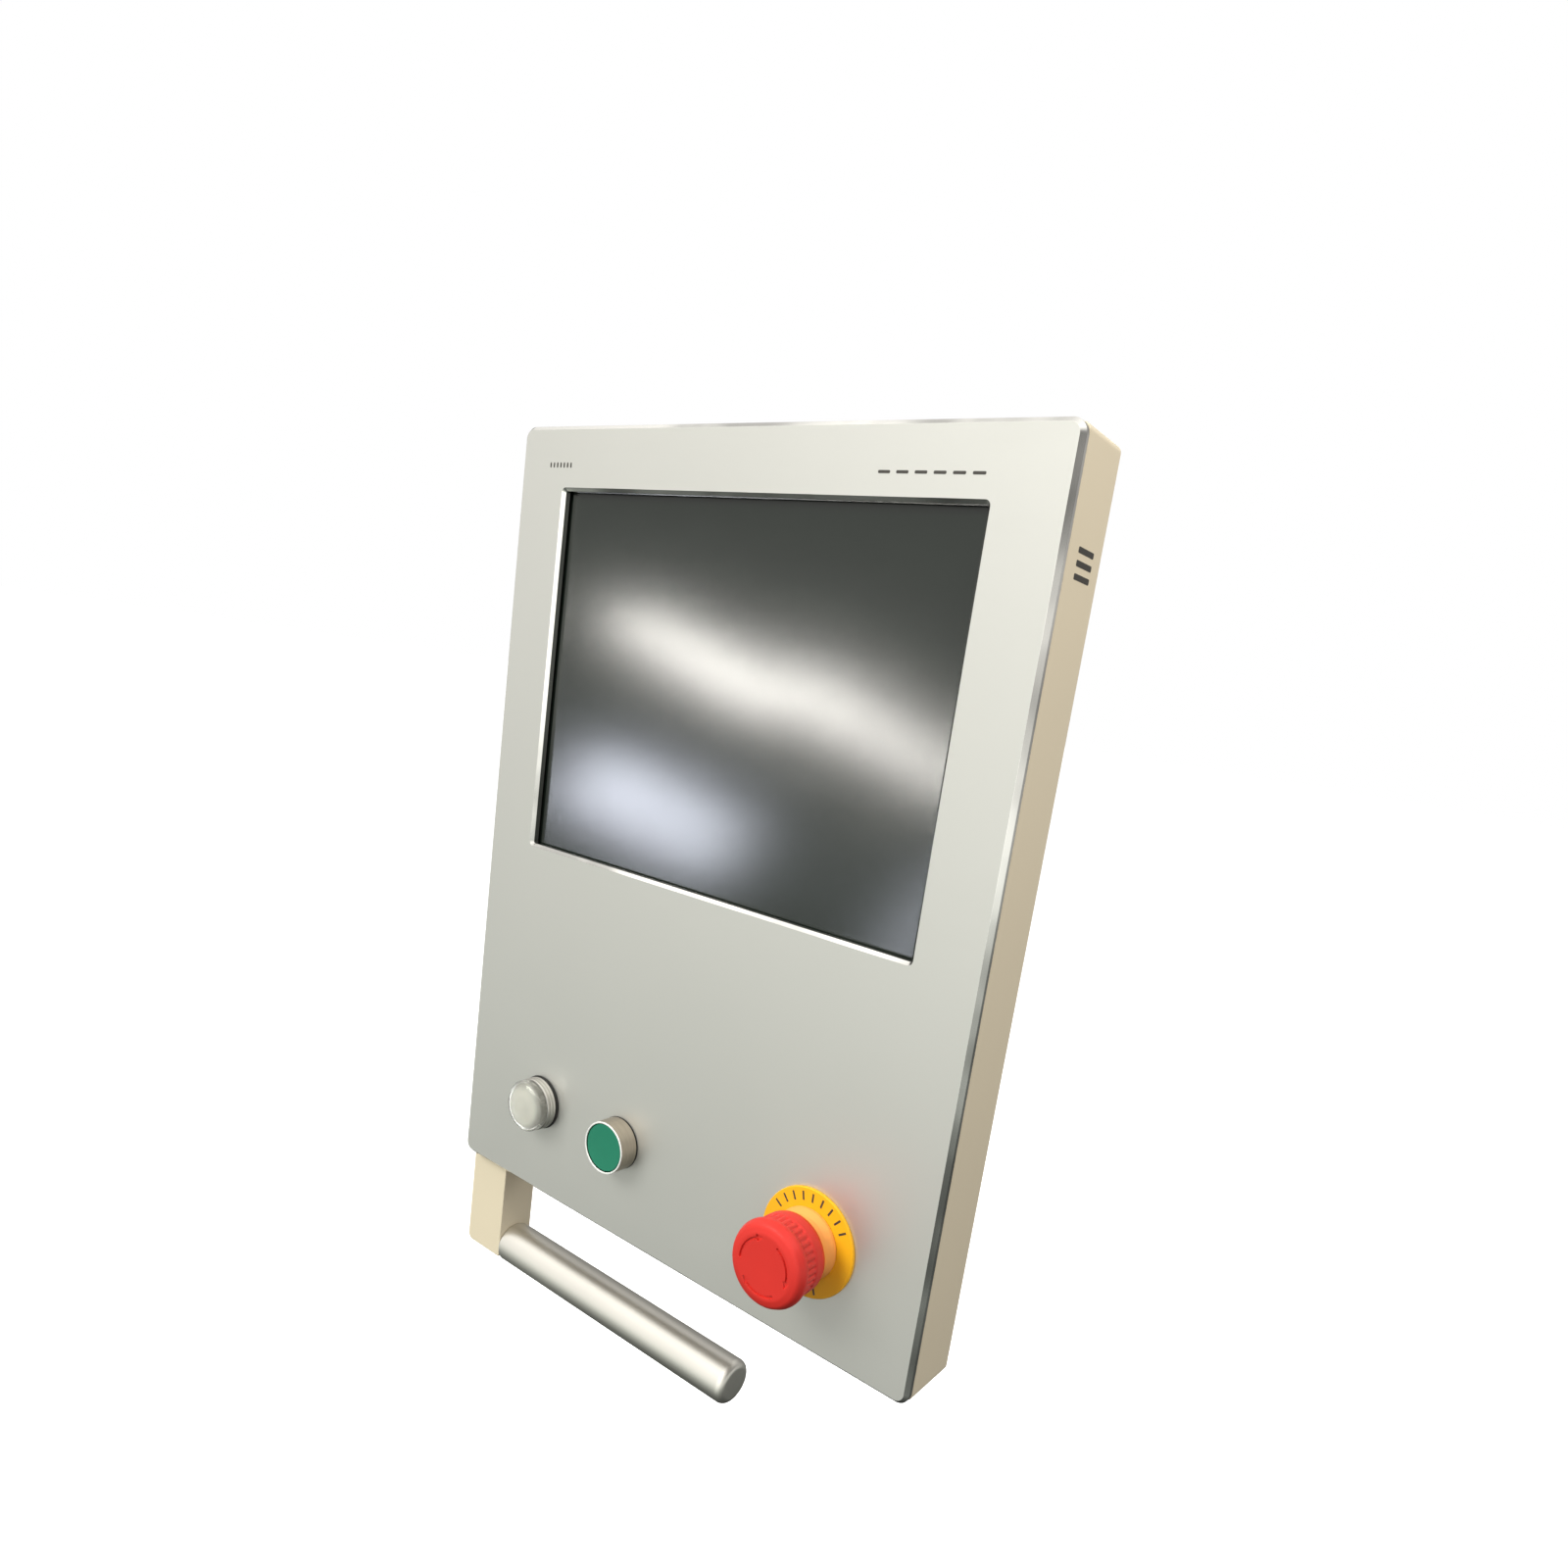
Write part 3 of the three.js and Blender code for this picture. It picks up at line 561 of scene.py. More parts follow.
class Shape:
    """A closed mesh in the making: rings of points, skins between them and caps over them."""

    def __init__(self):
        self.mesh = bmesh.new()

    def ring(self, points):
        return [self.mesh.verts.new(point) for point in points]

    def rings(self, outline, steps):
        """Rings of one outline at (grow, depth) steps."""
        return [self.ring((x, FRONT + depth, z) for x, z in outline(grow)) for grow, depth in steps]

    def skin(self, first, second, slot=0):
        count = len(first)
        for i in range(count):
            j = (i + 1) % count
            corners = [first[i], first[j], second[j], second[i]]
            loop = [v for k, v in enumerate(corners) if v is not corners[k - 1]]
            if len(loop) > 2:
                self.mesh.faces.new(loop).material_index = slot

    def cap(self, *rings):
        """A flat face inside the first ring, with the other rings as holes in it."""
        edges = []
        for ring in rings:
            for i, vert in enumerate(ring):
                pair = (ring[i - 1], vert)
                edges.append(self.mesh.edges.get(pair) or self.mesh.edges.new(pair))
        bmesh.ops.triangle_fill(self.mesh, edges=edges, use_beauty=True)

    def slab(self, *walls):
        """A flat piece from walls, each an outline, its (grow, depth) steps and perhaps the finish of
        each step. The first wall is the outside, and the others are holes through the piece."""
        ends = []
        for outline, steps, *slots in walls:
            rings = self.rings(outline, steps)
            for i, (a, b) in enumerate(zip(rings, rings[1:])):
                self.skin(a, b, slots[0][i] if slots else 0)
            ends.append((rings[0], rings[-1]))
        self.cap(*[first for first, last in ends])
        self.cap(*[last for first, last in ends])

    def block(self, first, last):
        """A closed block between two rings of points."""
        first, last = self.ring(first), self.ring(last)
        self.skin(first, last)
        self.cap(first)
        self.cap(last)

    def sweep(self, outline, section):
        """A closed section of (grow, depth) points carried round an outline."""
        rings = self.rings(outline, section)
        for i, ring in enumerate(rings):
            self.skin(rings[i - 1], ring)

    def turn(self, profile, centre, steps, axis="Y", warp=None, closed=False):
        """A turned body: (radius, along) points swung round an axis through a centre. Gives the last
        ring."""
        rings = []
        for radius, along in profile:
            ring = []
            on_axis = radius < 1e-9
            for k in range(1 if on_axis else steps):
                angle = math.tau * k / steps
                r, y = warp(radius, along, angle) if warp and not on_axis else (radius, along)
                a, b = r * math.cos(angle), r * math.sin(angle)
                ring.append((centre[0] + a, centre[1] + y, centre[2] + b) if axis == "Y"
                            else (centre[0] + y, centre[1] + a, centre[2] + b))
            made = self.ring(ring)
            rings.append(made * steps if on_axis else made)
        for i in range(0 if closed else 1, len(rings)):
            self.skin(rings[i - 1], rings[i])
        return rings[-1]

    def placed(self, name):
        """Puts the shape in the scene as an object."""
        bmesh.ops.recalc_face_normals(self.mesh, faces=self.mesh.faces)
        data = bpy.data.meshes.new(name)
        self.mesh.to_mesh(data)
        self.mesh.free()
        item = bpy.data.objects.new(name, data)
        bpy.context.scene.collection.objects.link(item)
        return item

    def made(self, name, looks, slot, stands_for=(), body="panel", sharp=35):
        """Turns the shape into a piece of the model, with its finishes, hides the CAD pieces that it stands
        for and puts it on the body that it rides on. Its slot is not used."""
        piece = self.placed(name)
        smoothed(piece, sharp, 80)
        for look in looks:
            piece.data.materials.append(finish(look))
        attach(piece, body)
        if stands_for:
            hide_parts(*stands_for)
        return piece


def smoothed(piece, sharp, weight):
    """Smooth shading that keeps edges over an angle sharp, and flat faces flat."""
    piece.data.shade_smooth()
    piece.data.set_sharp_from_angle(angle=math.radians(sharp))
    normals = piece.modifiers.new("flat faces stay flat", "WEIGHTED_NORMAL")
    normals.keep_sharp = True
    normals.weight = weight


def carved(piece, cutter):
    """Cuts a shape out of a piece for good."""
    piece.modifiers.clear()
    cut = piece.modifiers.new("cut", "BOOLEAN")
    cut.operation = "DIFFERENCE"
    cut.solver = "EXACT"
    cut.object = cutter
    graph = bpy.context.evaluated_depsgraph_get()
    data = bpy.data.meshes.new_from_object(piece.evaluated_get(graph))
    piece.modifiers.clear()
    piece.data = data
    bpy.data.objects.remove(cutter)
    smoothed(piece, 30, 50)


def turned_piece(name, looks, node, slot, corners, steps, sides, closed=False, body="panel"):
    """A turned piece about the axis of a round CAD piece, which it stands for. Its corners (radius,
    depth, rounding) are in mm."""
    centre = middle(node)
    shape = Shape()
    profile = softened(corners, closed, steps, MM)
    shape.turn(profile, (centre.x, FRONT, centre.z), sides, closed=closed)
    return shape.made(name, looks, slot, [node], body)


def rubber_washer(name, node, outer, bore):
    """A soft round seal in the place of a CAD one."""
    near, far = depths(node, MM)
    soft = min(0.5, 0.4 * (far - near))
    turned_piece(name, ["black_rubber"], node, "black_rubber", (
        (bore, near, 0.05), (outer - 0.25, near, soft), (outer, far, 0.1), (bore, far, 0.05)), 3, 80, True)


def seal_strip(name, node, wide, soft, corner, steps):
    """A flat rubber strip in the place of a CAD seal, inside its outline."""
    near, far = depths(node)
    strip = softened([(0, near, soft), (0, far, soft), (-wide, far, soft), (-wide, near, soft)], True, 2)
    seal = Shape()
    seal.sweep(outline_of(node, corner, steps), strip)
    seal.made(name, ["black_rubber"], "black_rubber", [node])


def socket_screw(name, node, rise, shank, head, socket, deep, steps):
    """A screw that faces back, with a hexagon socket, in the place of a CAD one. Its head stands rise
    mm above its seat, and the head's corners are in mm from the seat, up to the socket's rim."""
    low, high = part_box(node)
    centre = middle(node)
    seat = high.y - rise * MM
    under = (low.y - seat) / MM
    profile = softened([(0, under, 0), (shank, under, 0.3), *head], steps=steps, unit=MM)
    shape = Shape()
    rim = shape.turn(profile, (centre.x, seat, centre.z), 32)
    hexagon = round_at(node, socket * MM, 6)()
    top = seat + profile[-1][1]
    mouth, floor = [shape.ring((x, level, z) for x, z in hexagon) for level in (top, top - deep * MM)]
    shape.skin(mouth, floor)
    shape.cap(rim, mouth)
    shape.cap(floor)
    shape.made(name, ["zinc_plate"], "zinc_steel", [node])


def dress(look, *nodes):
    """Gives CAD pieces a finish and leaves their shape alone."""
    for node in nodes:
        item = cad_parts[node]
        if not item.material_slots:
            item.data.materials.append(finish(look))
        for slot in item.material_slots:
            slot.material = finish(look)


# ---------------------------------------------------------------- the pieces

class PanelMaker:
    """What every maker shares: it builds its piece and reports that it is done."""

    bl_options = {"REGISTER", "UNDO"}

    def execute(self, context):
        self.build(context.scene.touch_panel_sizes)
        return {"FINISHED"}


class PANEL_OT_plate(PanelMaker, bpy.types.Operator):
    """Front plate: satin face, polished chamfers, window and control holes"""

    bl_idname = "touch_panel.plate"
    bl_label = "Front plate"

    def build(self, size):
        chamfer, soft = size.plate_chamfer, 0.12 * MM
        bend = 2.5 * soft
        edge = softened([(-chamfer - soft, 0, 0), (-chamfer, 0, bend), (0, chamfer, bend),
                         (0, PLATE_THICK - soft, 0), (-soft, PLATE_THICK, 0)], steps=3)
        width, height = PLATE_HIGH.x - PLATE_LOW.x, PLATE_HIGH.z - PLATE_LOW.z
        outline = rounded_outline(width, height, size.plate_corner, steps=12)
        chamfer *= 0.8
        rim = softened([(chamfer + soft, 0, 0), (chamfer, 0, bend), (0, chamfer, bend),
                        (0, PLATE_THICK, 0)], steps=3)
        window_z = PLATE_HIGH.z - size.window_top - size.window_height / 2
        window = rounded_outline(size.window_width, size.window_height, 1 * MM, 0.0, window_z, 6)
        bore = hole_steps(0, PLATE_THICK, 0.2 * MM, 0.2 * MM)
        shape = Shape()
        shape.slab((outline, edge, [0] + [1] * (len(edge) - 3) + [0]),
                   (window, rim, [0] + [1] * (len(rim) - 2)),
                   *[(round_at(node, CONTROL_BORE, 64), bore)
                     for node in ("pilot_body", "start_bezel", "estop_collar")])
        shape.made("plate", ["satin_aluminium", "polished_edge"], "satin_aluminium", ["front_plate"])
        self.studs()

    def studs(self):
        inset = 11 * MM
        thread = [(0, 0.02), (3, 0.02), (2, 0.8)]
        for k in range(11):
            thread += [(2, 2 + PITCH * k), (1.7, 2 + PITCH * (k + 0.5))]
        thread += [(1.5, 9.9), (0, 9.9)]
        profile = [(radius * MM, PLATE_THICK + along * MM) for radius, along in thread]
        shape = Shape()
        for sx, sz in SIGNS:
            shape.turn(profile, (sx * (PLATE_HIGH.x - inset), FRONT, sz * (PLATE_HIGH.z - inset)), 20)
        shape.made("plate_studs", ["zinc_plate"], "zinc_steel")


class PANEL_OT_marks(PanelMaker, bpy.types.Operator):
    """Printed marks: plain ticks and dashes on the plate, and three bars on the housing's side"""

    bl_idname = "touch_panel.marks"
    bl_label = "Printed marks"

    def build(self, size):
        plate = Shape()
        row = PLATE_HIGH.z - 19.5 * MM
        ticks = [(-136.5 + 2.6 * k, 0.0, 1.1, 2.6) for k in range(7)]
        dashes = [(74 + 9.0 * k, -1.2, 6.0, 1.3) for k in range(6)]
        for x, z, wide, high in ticks + dashes:
            bar = rounded_outline(wide * MM, high * MM, 0.5 * MM, x * MM, row + z * MM, 3)
            plate.slab((bar, [(0, INK_FRONT), (0, INK_BACK)]))
        plate.made("plate_marks", ["printed_ink"], "black_rubber")

        side = Shape()
        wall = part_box("housing")[1].x
        for k in (-1, 0, 1):
            bar = rounded_outline(15 * MM, 2.4 * MM, 0.6 * MM, 22 * MM, 158 * MM + 5 * MM * k, 3)()
            side.block(*[[(wall - ink, FRONT + depth, z) for depth, z in bar]
                         for ink in (INK_FRONT, INK_BACK)])
        side.made("housing_marks", ["printed_ink"], "black_rubber")


class PANEL_OT_housing(PanelMaker, bpy.types.Operator):
    """Housing: folded and painted sheet with rounded corners, and the seal in front of it"""

    bl_idname = "touch_panel.housing"
    bl_label = "Housing"

    def build(self, size):
        wall, edge = size.wall, size.edge
        front, rear = depths("housing")
        flange = depths("rear_cover")[0] - 0.2 * MM
        front_lip, rear_lip, soft, bend = 16.5 * MM, 14.5 * MM, 0.3 * MM, 1 * MM
        section = softened([
            (0, front, 1.2 * edge), (0, rear, 1.2 * edge), (-wall, rear, 0.4 * edge),
            (-wall, flange, 0), (-rear_lip, flange, soft), (-rear_lip, flange - wall, soft),
            (-wall, flange - wall, bend), (-wall, front + wall, bend),
            (-front_lip, front + wall, soft), (-front_lip, front, soft)], closed=True)
        shape = Shape()
        shape.sweep(outline_of("housing", size.case_corner), section)
        shape.made("case_frame", ["powder_coat"], "beige_paint", ["housing"])
        seal_strip("plate_seal", "plate_gasket", 14 * MM, 0.2 * MM, 6 * MM, 8)


class PANEL_OT_cover(PanelMaker, bpy.types.Operator):
    """Rear cover with vent slots, its screws and the cable membrane"""

    bl_idname = "touch_panel.cover"
    bl_label = "Rear cover"

    def build(self, size):
        front, rear = depths("rear_cover")
        wide, high, across, top, apart = 44 * MM, 3 * MM, 96 * MM, 150, 9
        holes = [rounded_outline(wide, high, 1.49 * MM, side * across, (top - apart * row) * MM, 5)
                 for side in (-1, 1) for row in range(6)]
        holes += [round_at(f"cover_screw_{i + 1}", 2.3 * MM, 24) for i in range(6)]
        holes += [round_at(f"arm_bolt_{i + 1}", 3.4 * MM, 24) for i in range(4)]
        holes.append(round_at("cable_grommet", 15 * MM, 64))
        wall = hole_steps(front, rear, 0.1 * MM, 0.25 * MM)
        shape = Shape()
        shape.slab((outline_of("rear_cover", 2.5 * MM), edge_steps(front, rear, 0.1 * MM, 0.35 * MM)),
                   *[(hole, wall) for hole in holes])
        shape.made("case_cover", ["powder_coat"], "beige_paint", ["rear_cover"])
        head = [(1.8, 0, 0), (3.6, 0, 0.2), (3.55, 0.55, 0.8), (2.6, 1.9, 0.9), (1.9, 1.9, 0)]
        for i in range(6):
            socket_screw(f"button_screw_{i + 1}", f"cover_screw_{i + 1}", 1.9, 1.8, head, 1.3, 1.2, 4)
        self.membrane()

    def membrane(self):
        front, rear = depths("cable_grommet", MM)
        cover = depths("rear_cover", MM)[1]
        turned_piece("cable_membrane", ["black_rubber"], "cable_grommet", "black_rubber", (
            (0, cover - 2, 0), (11.8, cover - 2, 0), (11.8, front, 0.4), (17.5, front, 0.6),
            (17.5, cover - 1.7, 0.4), (14.8, cover - 1.7, 0), (14.8, cover + 0.2, 0),
            (17.5, cover + 0.2, 0.3), (17.5, cover + 1.3, 0.8), (12.2, rear, 0.8),
            (11.4, cover + 0.7, 0.6), (9, cover + 0.7, 0.3), (8.6, cover + 1.1, 0.3),
            (8.2, cover + 0.7, 0.3), (5.2, cover + 0.7, 0.3), (4.8, cover + 1.1, 0.3),
            (4.4, cover + 0.7, 0.3), (0, cover + 0.6, 0)), 3, 64)


class PANEL_OT_arm_mount(PanelMaker, bpy.types.Operator):
    """Square mount plate behind the panel, with its countersunk bolts and tapped holes"""

    bl_idname = "touch_panel.arm_mount"
    bl_label = "Arm mount"

    def build(self, size):
        front, rear = depths("arm_mount_plate")
        sink = [(0, front), (0, rear - 3.3 * MM), (3.2 * MM, rear - 0.1 * MM), (3.3 * MM, rear)]
        thread = [(0.35 * MM, front), (0, front + 0.35 * MM)]
        for k in range(4):
            turn = front + PITCH * k * MM
            thread += [(0.3 * MM, turn + 0.75 * MM), (0, turn + 1.1 * MM)]
        thread.append((0.45 * MM, rear))
        tap, off = 2.1 * MM, 50 * MM
        walls = [(outline_of("arm_mount_plate", 8 * MM, 10), edge_steps(front, rear, 0.3 * MM, 0.6 * MM))]
        walls += [(round_at(f"arm_bolt_{i + 1}", 3.3 * MM, 48), sink) for i in range(4)]
        walls += [(round_outline(tap, sx * off, sz * off, 32), thread) for sx, sz in SIGNS]
        shape = Shape()
        shape.slab(*walls)
        shape.made("mount_plate", ["brushed_flat"], "brushed_steel", ["arm_mount_plate"])
        head = [(2.7, -2.9, 0), (5.7, -0.25, 0.1), (5.6, 0, 0.1), (2.4, 0, 0)]
        for i in range(4):
            socket_screw(f"sunk_bolt_{i + 1}", f"arm_bolt_{i + 1}", 0, 2.7, head, 1.7, 1.7, 3)


class PANEL_OT_screen(PanelMaker, bpy.types.Operator):
    """Touch screen behind the window, and the foam seal round it"""

    bl_idname = "touch_panel.screen"
    bl_label = "Screen"

    def build(self, size):
        shape = Shape()
        edge = edge_steps(*depths("touch_glass"), 0.3 * MM, 0.3 * MM)
        shape.slab((outline_of("touch_glass", 1 * MM, 4), edge))
        shape.made("screen", ["screen_film"], "screen_glass", ["touch_glass"])
        seal_strip("screen_seal", "display_gasket", 6 * MM, 0.15 * MM, 1.5 * MM, 4)


class PANEL_OT_pilot(PanelMaker, bpy.types.Operator):
    """Pilot light: clear cap over a white diffuser, metal ring and rubber seal"""

    bl_idname = "touch_panel.pilot"
    bl_label = "Pilot light"

    def build(self, size):
        tip, foot = depths("pilot_lens", MM)
        turned_piece("pilot_cap", ["clear_plastic"], "pilot_lens", "clear_white_lens", (
            (0, tip, 0), (6, tip + 0.12, 8), (11.4, tip + 0.75, 4), (14.3, tip + 3.1, 2.4),
            (14.3, foot - 0.7, 0.2), (13.9, foot, 0.15), (13.1, foot, 0.1), (13.1, tip + 3.6, 1.8),
            (11, tip + 2.1, 3), (6, tip + 1.4, 8), (0, tip + 1.3, 0)), 6, 80)

        def ribs(radius, depth, angle):
            if radius < 12.3 * MM:
                return radius, depth
            return radius - 0.22 * MM * (0.5 + 0.5 * math.cos(48 * angle)), depth

        profile = softened([
            (0, tip + 1.5, 0), (6, tip + 1.6, 8), (10.9, tip + 2.3, 3), (12.8, tip + 4.2, 1.6),
            (12.9, foot + 0.1, 0.2), (0, foot + 0.1, 0)], steps=6, unit=MM)
        centre = middle("pilot_lens")
        diffuser = Shape()
        diffuser.turn(profile, (centre.x, FRONT, centre.z), 288, warp=ribs)
        diffuser.made("pilot_diffuser", ["white_diffuser"], "white_plastic")
        near, far = depths("pilot_bezel", MM)
        turned_piece("pilot_ring", ["steel_rings"], "pilot_bezel", "brushed_steel", (
            (11.1, near, 0.1), (14.25, near, 0.3), (14.6, near + 0.5, 0.3), (14.6, near + 1.5, 0.1),
            (14.0, near + 1.9, 0.1), (14.0, near + 2.1, 0.1), (14.6, near + 2.5, 0.1),
            (14.6, far - 1.3, 0.1), (14.1, far - 1.0, 0.1), (14.6, far - 0.7, 0.1), (14.6, far, 0.2),
            (11.1, far, 0.1)), 3, 80, True)
        rubber_washer("pilot_washer", "pilot_gasket", 15.1, 11.1)


class PANEL_OT_start(PanelMaker, bpy.types.Operator):
    """Start button: nickel bezel with a polished rim in a painted highlight, and its green cap"""

    bl_idname = "touch_panel.start"
    bl_label = "Start button"

    def build(self, size):
        tip, rear = depths("start_bezel", MM)
        flange, cup_floor, neck_end = -0.8, -3.2, 8
        ring = turned_piece("start_ring", ["nickel_rings", "bright_rim"], "start_bezel", "satin_nickel", (
            (12.95, tip + 0.3, 0.1), (13.1, tip, 0.2), (13.85, tip, 0.2), (14, tip + 0.3, 0.2),
            (14, flange, 0.15), (10.8, flange, 0.1), (10.8, 4.6, 0), (10.8, rear, 0.4), (3.8, rear, 0),
            (3.8, neck_end, 0), (7, neck_end, 0.2), (7, cup_floor, 0.2), (13, cup_floor, 0.2)),
            3, 96, True)
        # the rim's front faces take the painted highlight
        for face in ring.data.polygons:
            if face.center.y < FRONT + (tip + 0.34) * MM:
                face.material_index = 1
        near, far = depths("start_cap", MM)
        turned_piece("start_face", ["green_plastic"], "start_cap", "green_plastic", (
            (0, near + 0.25, 0), (6, near + 0.2, 6), (11.6, near + 0.02, 1.2), (12.35, near, 0.3),
            (12.7, near + 0.4, 0.3), (12.7, far, 0.2), (0, far, 0)), 5, 96, body="start_button")
        rubber_washer("start_washer", "start_gasket", 14.2, 11.0)


class PANEL_OT_stop(PanelMaker, bpy.types.Operator):
    """Emergency stop: fluted red head with engraved arrows, on its collar"""

    bl_idname = "touch_panel.stop"
    bl_label = "Stop button"

    def build(self, size):
        tip, rear = depths("estop_head", MM)
        flutes, flute_depth = size.flutes, size.flute_depth

        def carve(radius, along, angle):
            """Engraves the arrows in the face and cuts the flutes in the waist."""
            if along < (tip + 1.2) * MM and 10 * MM < radius < 16.4 * MM:
                return radius, along + size.arrow_depth * self.arrow(size.arrow_ring, radius, angle)
            waist = (smooth_step(along / MM, -26.2, -25.2)
                     * (1 - smooth_step(along / MM, -19.9, -18.9)))
            if waist and radius > 18 * MM:
                tooth = (0.5 + 0.5 * math.cos(flutes * angle)) ** 1.6
                return radius - flute_depth * waist * tooth, along
            return radius, along

        outer = softened([
            (0, tip + 0.15, 0), (15.2, tip, 5), (18.9, tip + 1.1, 3.5), (20.5, tip + 4.6, 3.5),
            (20.5, -26.9, 1.2), (19.25, -25.6, 1), (19.05, -19, 0.6), (19.25, -18.3, 0.6),
            (19.15, -14.2, 1.5), (18.4, rear, 0.4), (16.8, rear, 0.3)], steps=6, unit=MM)
        inner = [(r * MM, d * MM) for r, d in ((16.8, -17.2), (6.3, -17.2), (6.3, -27), (0, -27))]
        centre = middle("estop_head")
        shape = Shape()
        shape.turn(divided(outer, 0.32 * MM) + inner, (centre.x, FRONT, centre.z), 12 * flutes, warp=carve)
        shape.made("stop_head", ["red_plastic"], "red_plastic", ["estop_head"], "stop_knob", 50)

        near, far = depths("estop_collar", MM)
        turned_piece("stop_collar", ["orange_plastic"], "estop_collar", "orange_plastic", (
            (9, near, 0.2), (15, near, 0.5), (15.3, -9.4, 0.6), (15.9, -6.6, 3), (17.35, -3.3, 0.6),
            (17.4, -1.9, 0.15), (10.8, -1.9, 0), (10.8, far, 0.4), (5.3, far, 0.1), (5.3, 8, 0),
            (9, 8, 0.3)), 4, 96, True)

    def arrow(self, ring, radius, angle):
        """How deep the engraving of the three arrows is at a point of the face, from 0 to 1."""
        head, head_half, line_half = 3.4 * MM, 1.5 * MM, 0.42 * MM
        reach = math.radians(84) * ring
        deepest = 0.0
        for start in (184, 64, -56):
            along = (math.radians(start) - angle) % math.tau * ring
            if along > reach:
                continue
            if along < reach - head:
                half = line_half * smooth_step(along, 0.0, 0.4 * MM)
            else:
                half = head_half * (reach - along) / head
            if half > 0.05 * MM:
                off = abs(radius - ring)
                deepest = max(deepest, 1 - smooth_step(off, half - 0.1 * MM, half + 0.22 * MM))
        return deepest


class PANEL_OT_legend(PanelMaker, bpy.types.Operator):
    """Yellow legend ring behind the stop button, with plain radial bars printed on it"""

    bl_idname = "touch_panel.legend"
    bl_label = "Legend ring"

    def build(self, size):
        low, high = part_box("estop_legend")
        near, far = depths("estop_legend")
        shape = Shape()
        shape.slab((round_at("estop_legend", (high.x - low.x) / 2, 120),
                    edge_steps(near, far, 0.45 * MM, 0.15 * MM)),
                   (round_at("estop_legend", 11.0 * MM, 64), hole_steps(near, far, 0.15 * MM, 0.1 * MM)))
        shape.made("legend_ring", ["yellow_plastic"], "yellow_plastic", ["estop_legend"])

        centre = middle("estop_legend")
        ring, half_long, half_wide = 22.4 * MM, 2.2 * MM, 0.5 * MM
        bars = Shape()
        for degrees in [146 - 14 * k for k in range(9)] + [249 + 14 * k for k in range(4)]:
            angle = math.radians(degrees)
            out = Vector((math.cos(angle), math.sin(angle)))
            across = Vector((-math.sin(angle), math.cos(angle)))
            corners = [Vector((centre.x, centre.z)) + out * (ring + a * half_long) + across * b * half_wide
                       for a, b in ((-1, -1), (1, -1), (1, 1), (-1, 1))]
            bars.block(*[[(p.x, low.y + ink, p.y) for p in corners] for ink in (INK_FRONT, INK_BACK)])
        bars.made("legend_marks", ["printed_ink"], "black_rubber")


class PANEL_OT_handle(PanelMaker, bpy.types.Operator):
    """Handle: painted arm and satin steel grip bar, with the holes for the bolt that joins them"""

    bl_idname = "touch_panel.handle"
    bl_label = "Handle"

    def build(self, size):
        low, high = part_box("handle_arm")
        bar_low, bar_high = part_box("grip_bar")
        axis = middle("grip_bar")
        shape = Shape()
        shape.slab((outline_of("handle_arm", 4 * MM, 8, (0.05, 0.05, 1, 0.2)),
                    edge_steps(*depths("handle_arm"), 0.6 * MM, 0.6 * MM, steps=4)))
        arm = shape.made("arm", ["powder_coat"], "beige_paint", ["handle_arm"])
        spare, head_bore, seat = 1 * MM, 5.2 * MM, 10 * MM
        through = high.x - low.x + 2 * spare
        cutter = Shape()
        cutter.turn([(0, 0), (head_bore, 0), (head_bore, seat), (BOLT_BORE, seat), (BOLT_BORE, through),
                     (0, through)], (low.x - spare, axis.y, axis.z), 48, "X")
        carved(arm, cutter.placed("cutter"))

        radius = (bar_high.z - bar_low.z) / 2
        length = bar_high.x - bar_low.x
        bore_end = 16 * MM
        profile = softened([(BOLT_BORE, 0, 0), (radius, 0, 0.5 * MM), (radius, length, 4 * MM),
                            (0, length, 0)], steps=8)
        bar = Shape()
        bar.turn([(0, bore_end), (BOLT_BORE, bore_end), *profile], (bar_low.x, axis.y, axis.z), 96, "X")
        bar.made("bar", ["satin_bar"], "brushed_steel", ["grip_bar"])


class PANEL_OT_springs(PanelMaker, bpy.types.Operator):
    """Coil springs behind the start button and in the emergency stop"""

    bl_idname = "touch_panel.springs"
    bl_label = "Springs"

    def build(self, size):
        self.coil("start_coil", "start_spring", "start_press", 0.45 * MM, 3.5 * MM)
        self.coil("stop_coil", "estop_spring", "stop_push", 0.6 * MM, 4.5 * MM)

    def coil(self, name, node, joint, wire, travel, turns=7, steps=30, sides=10):
        """A round wire wound round Y, with closed end turns. Its joint is not used."""
        low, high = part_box(node)
        centre = middle(node)
        radius = (high.x - low.x) / 2 - wire
        length = high.y - low.y - 2 * wire
        closed = 2.1 * wire
        shape = Shape()
        rings = []
        for k in range(turns * steps + 1):
            turn = k / steps
            along = closed + (turn - 1) / (turns - 2) * (length - 2 * closed)
            if turn < 1:
                along = turn * closed
            elif turn > turns - 1:
                along = length - (turns - turn) * closed
            out = Vector((math.cos(math.tau * turn), 0, math.sin(math.tau * turn)))
            core = Vector((centre.x, low.y + wire + along, centre.z)) + radius * out
            rings.append(shape.ring(
                core + wire * (math.cos(round_wire) * out + Vector((0, math.sin(round_wire), 0)))
                for round_wire in (math.tau * i / sides for i in range(sides))))
        for first, second in zip(rings, rings[1:]):
            shape.skin(first, second)
        shape.cap(rings[0])
        shape.cap(rings[-1])
        piece = shape.made(name, ["zinc_plate"], "zinc_steel", [node], sharp=60)
        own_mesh(piece)


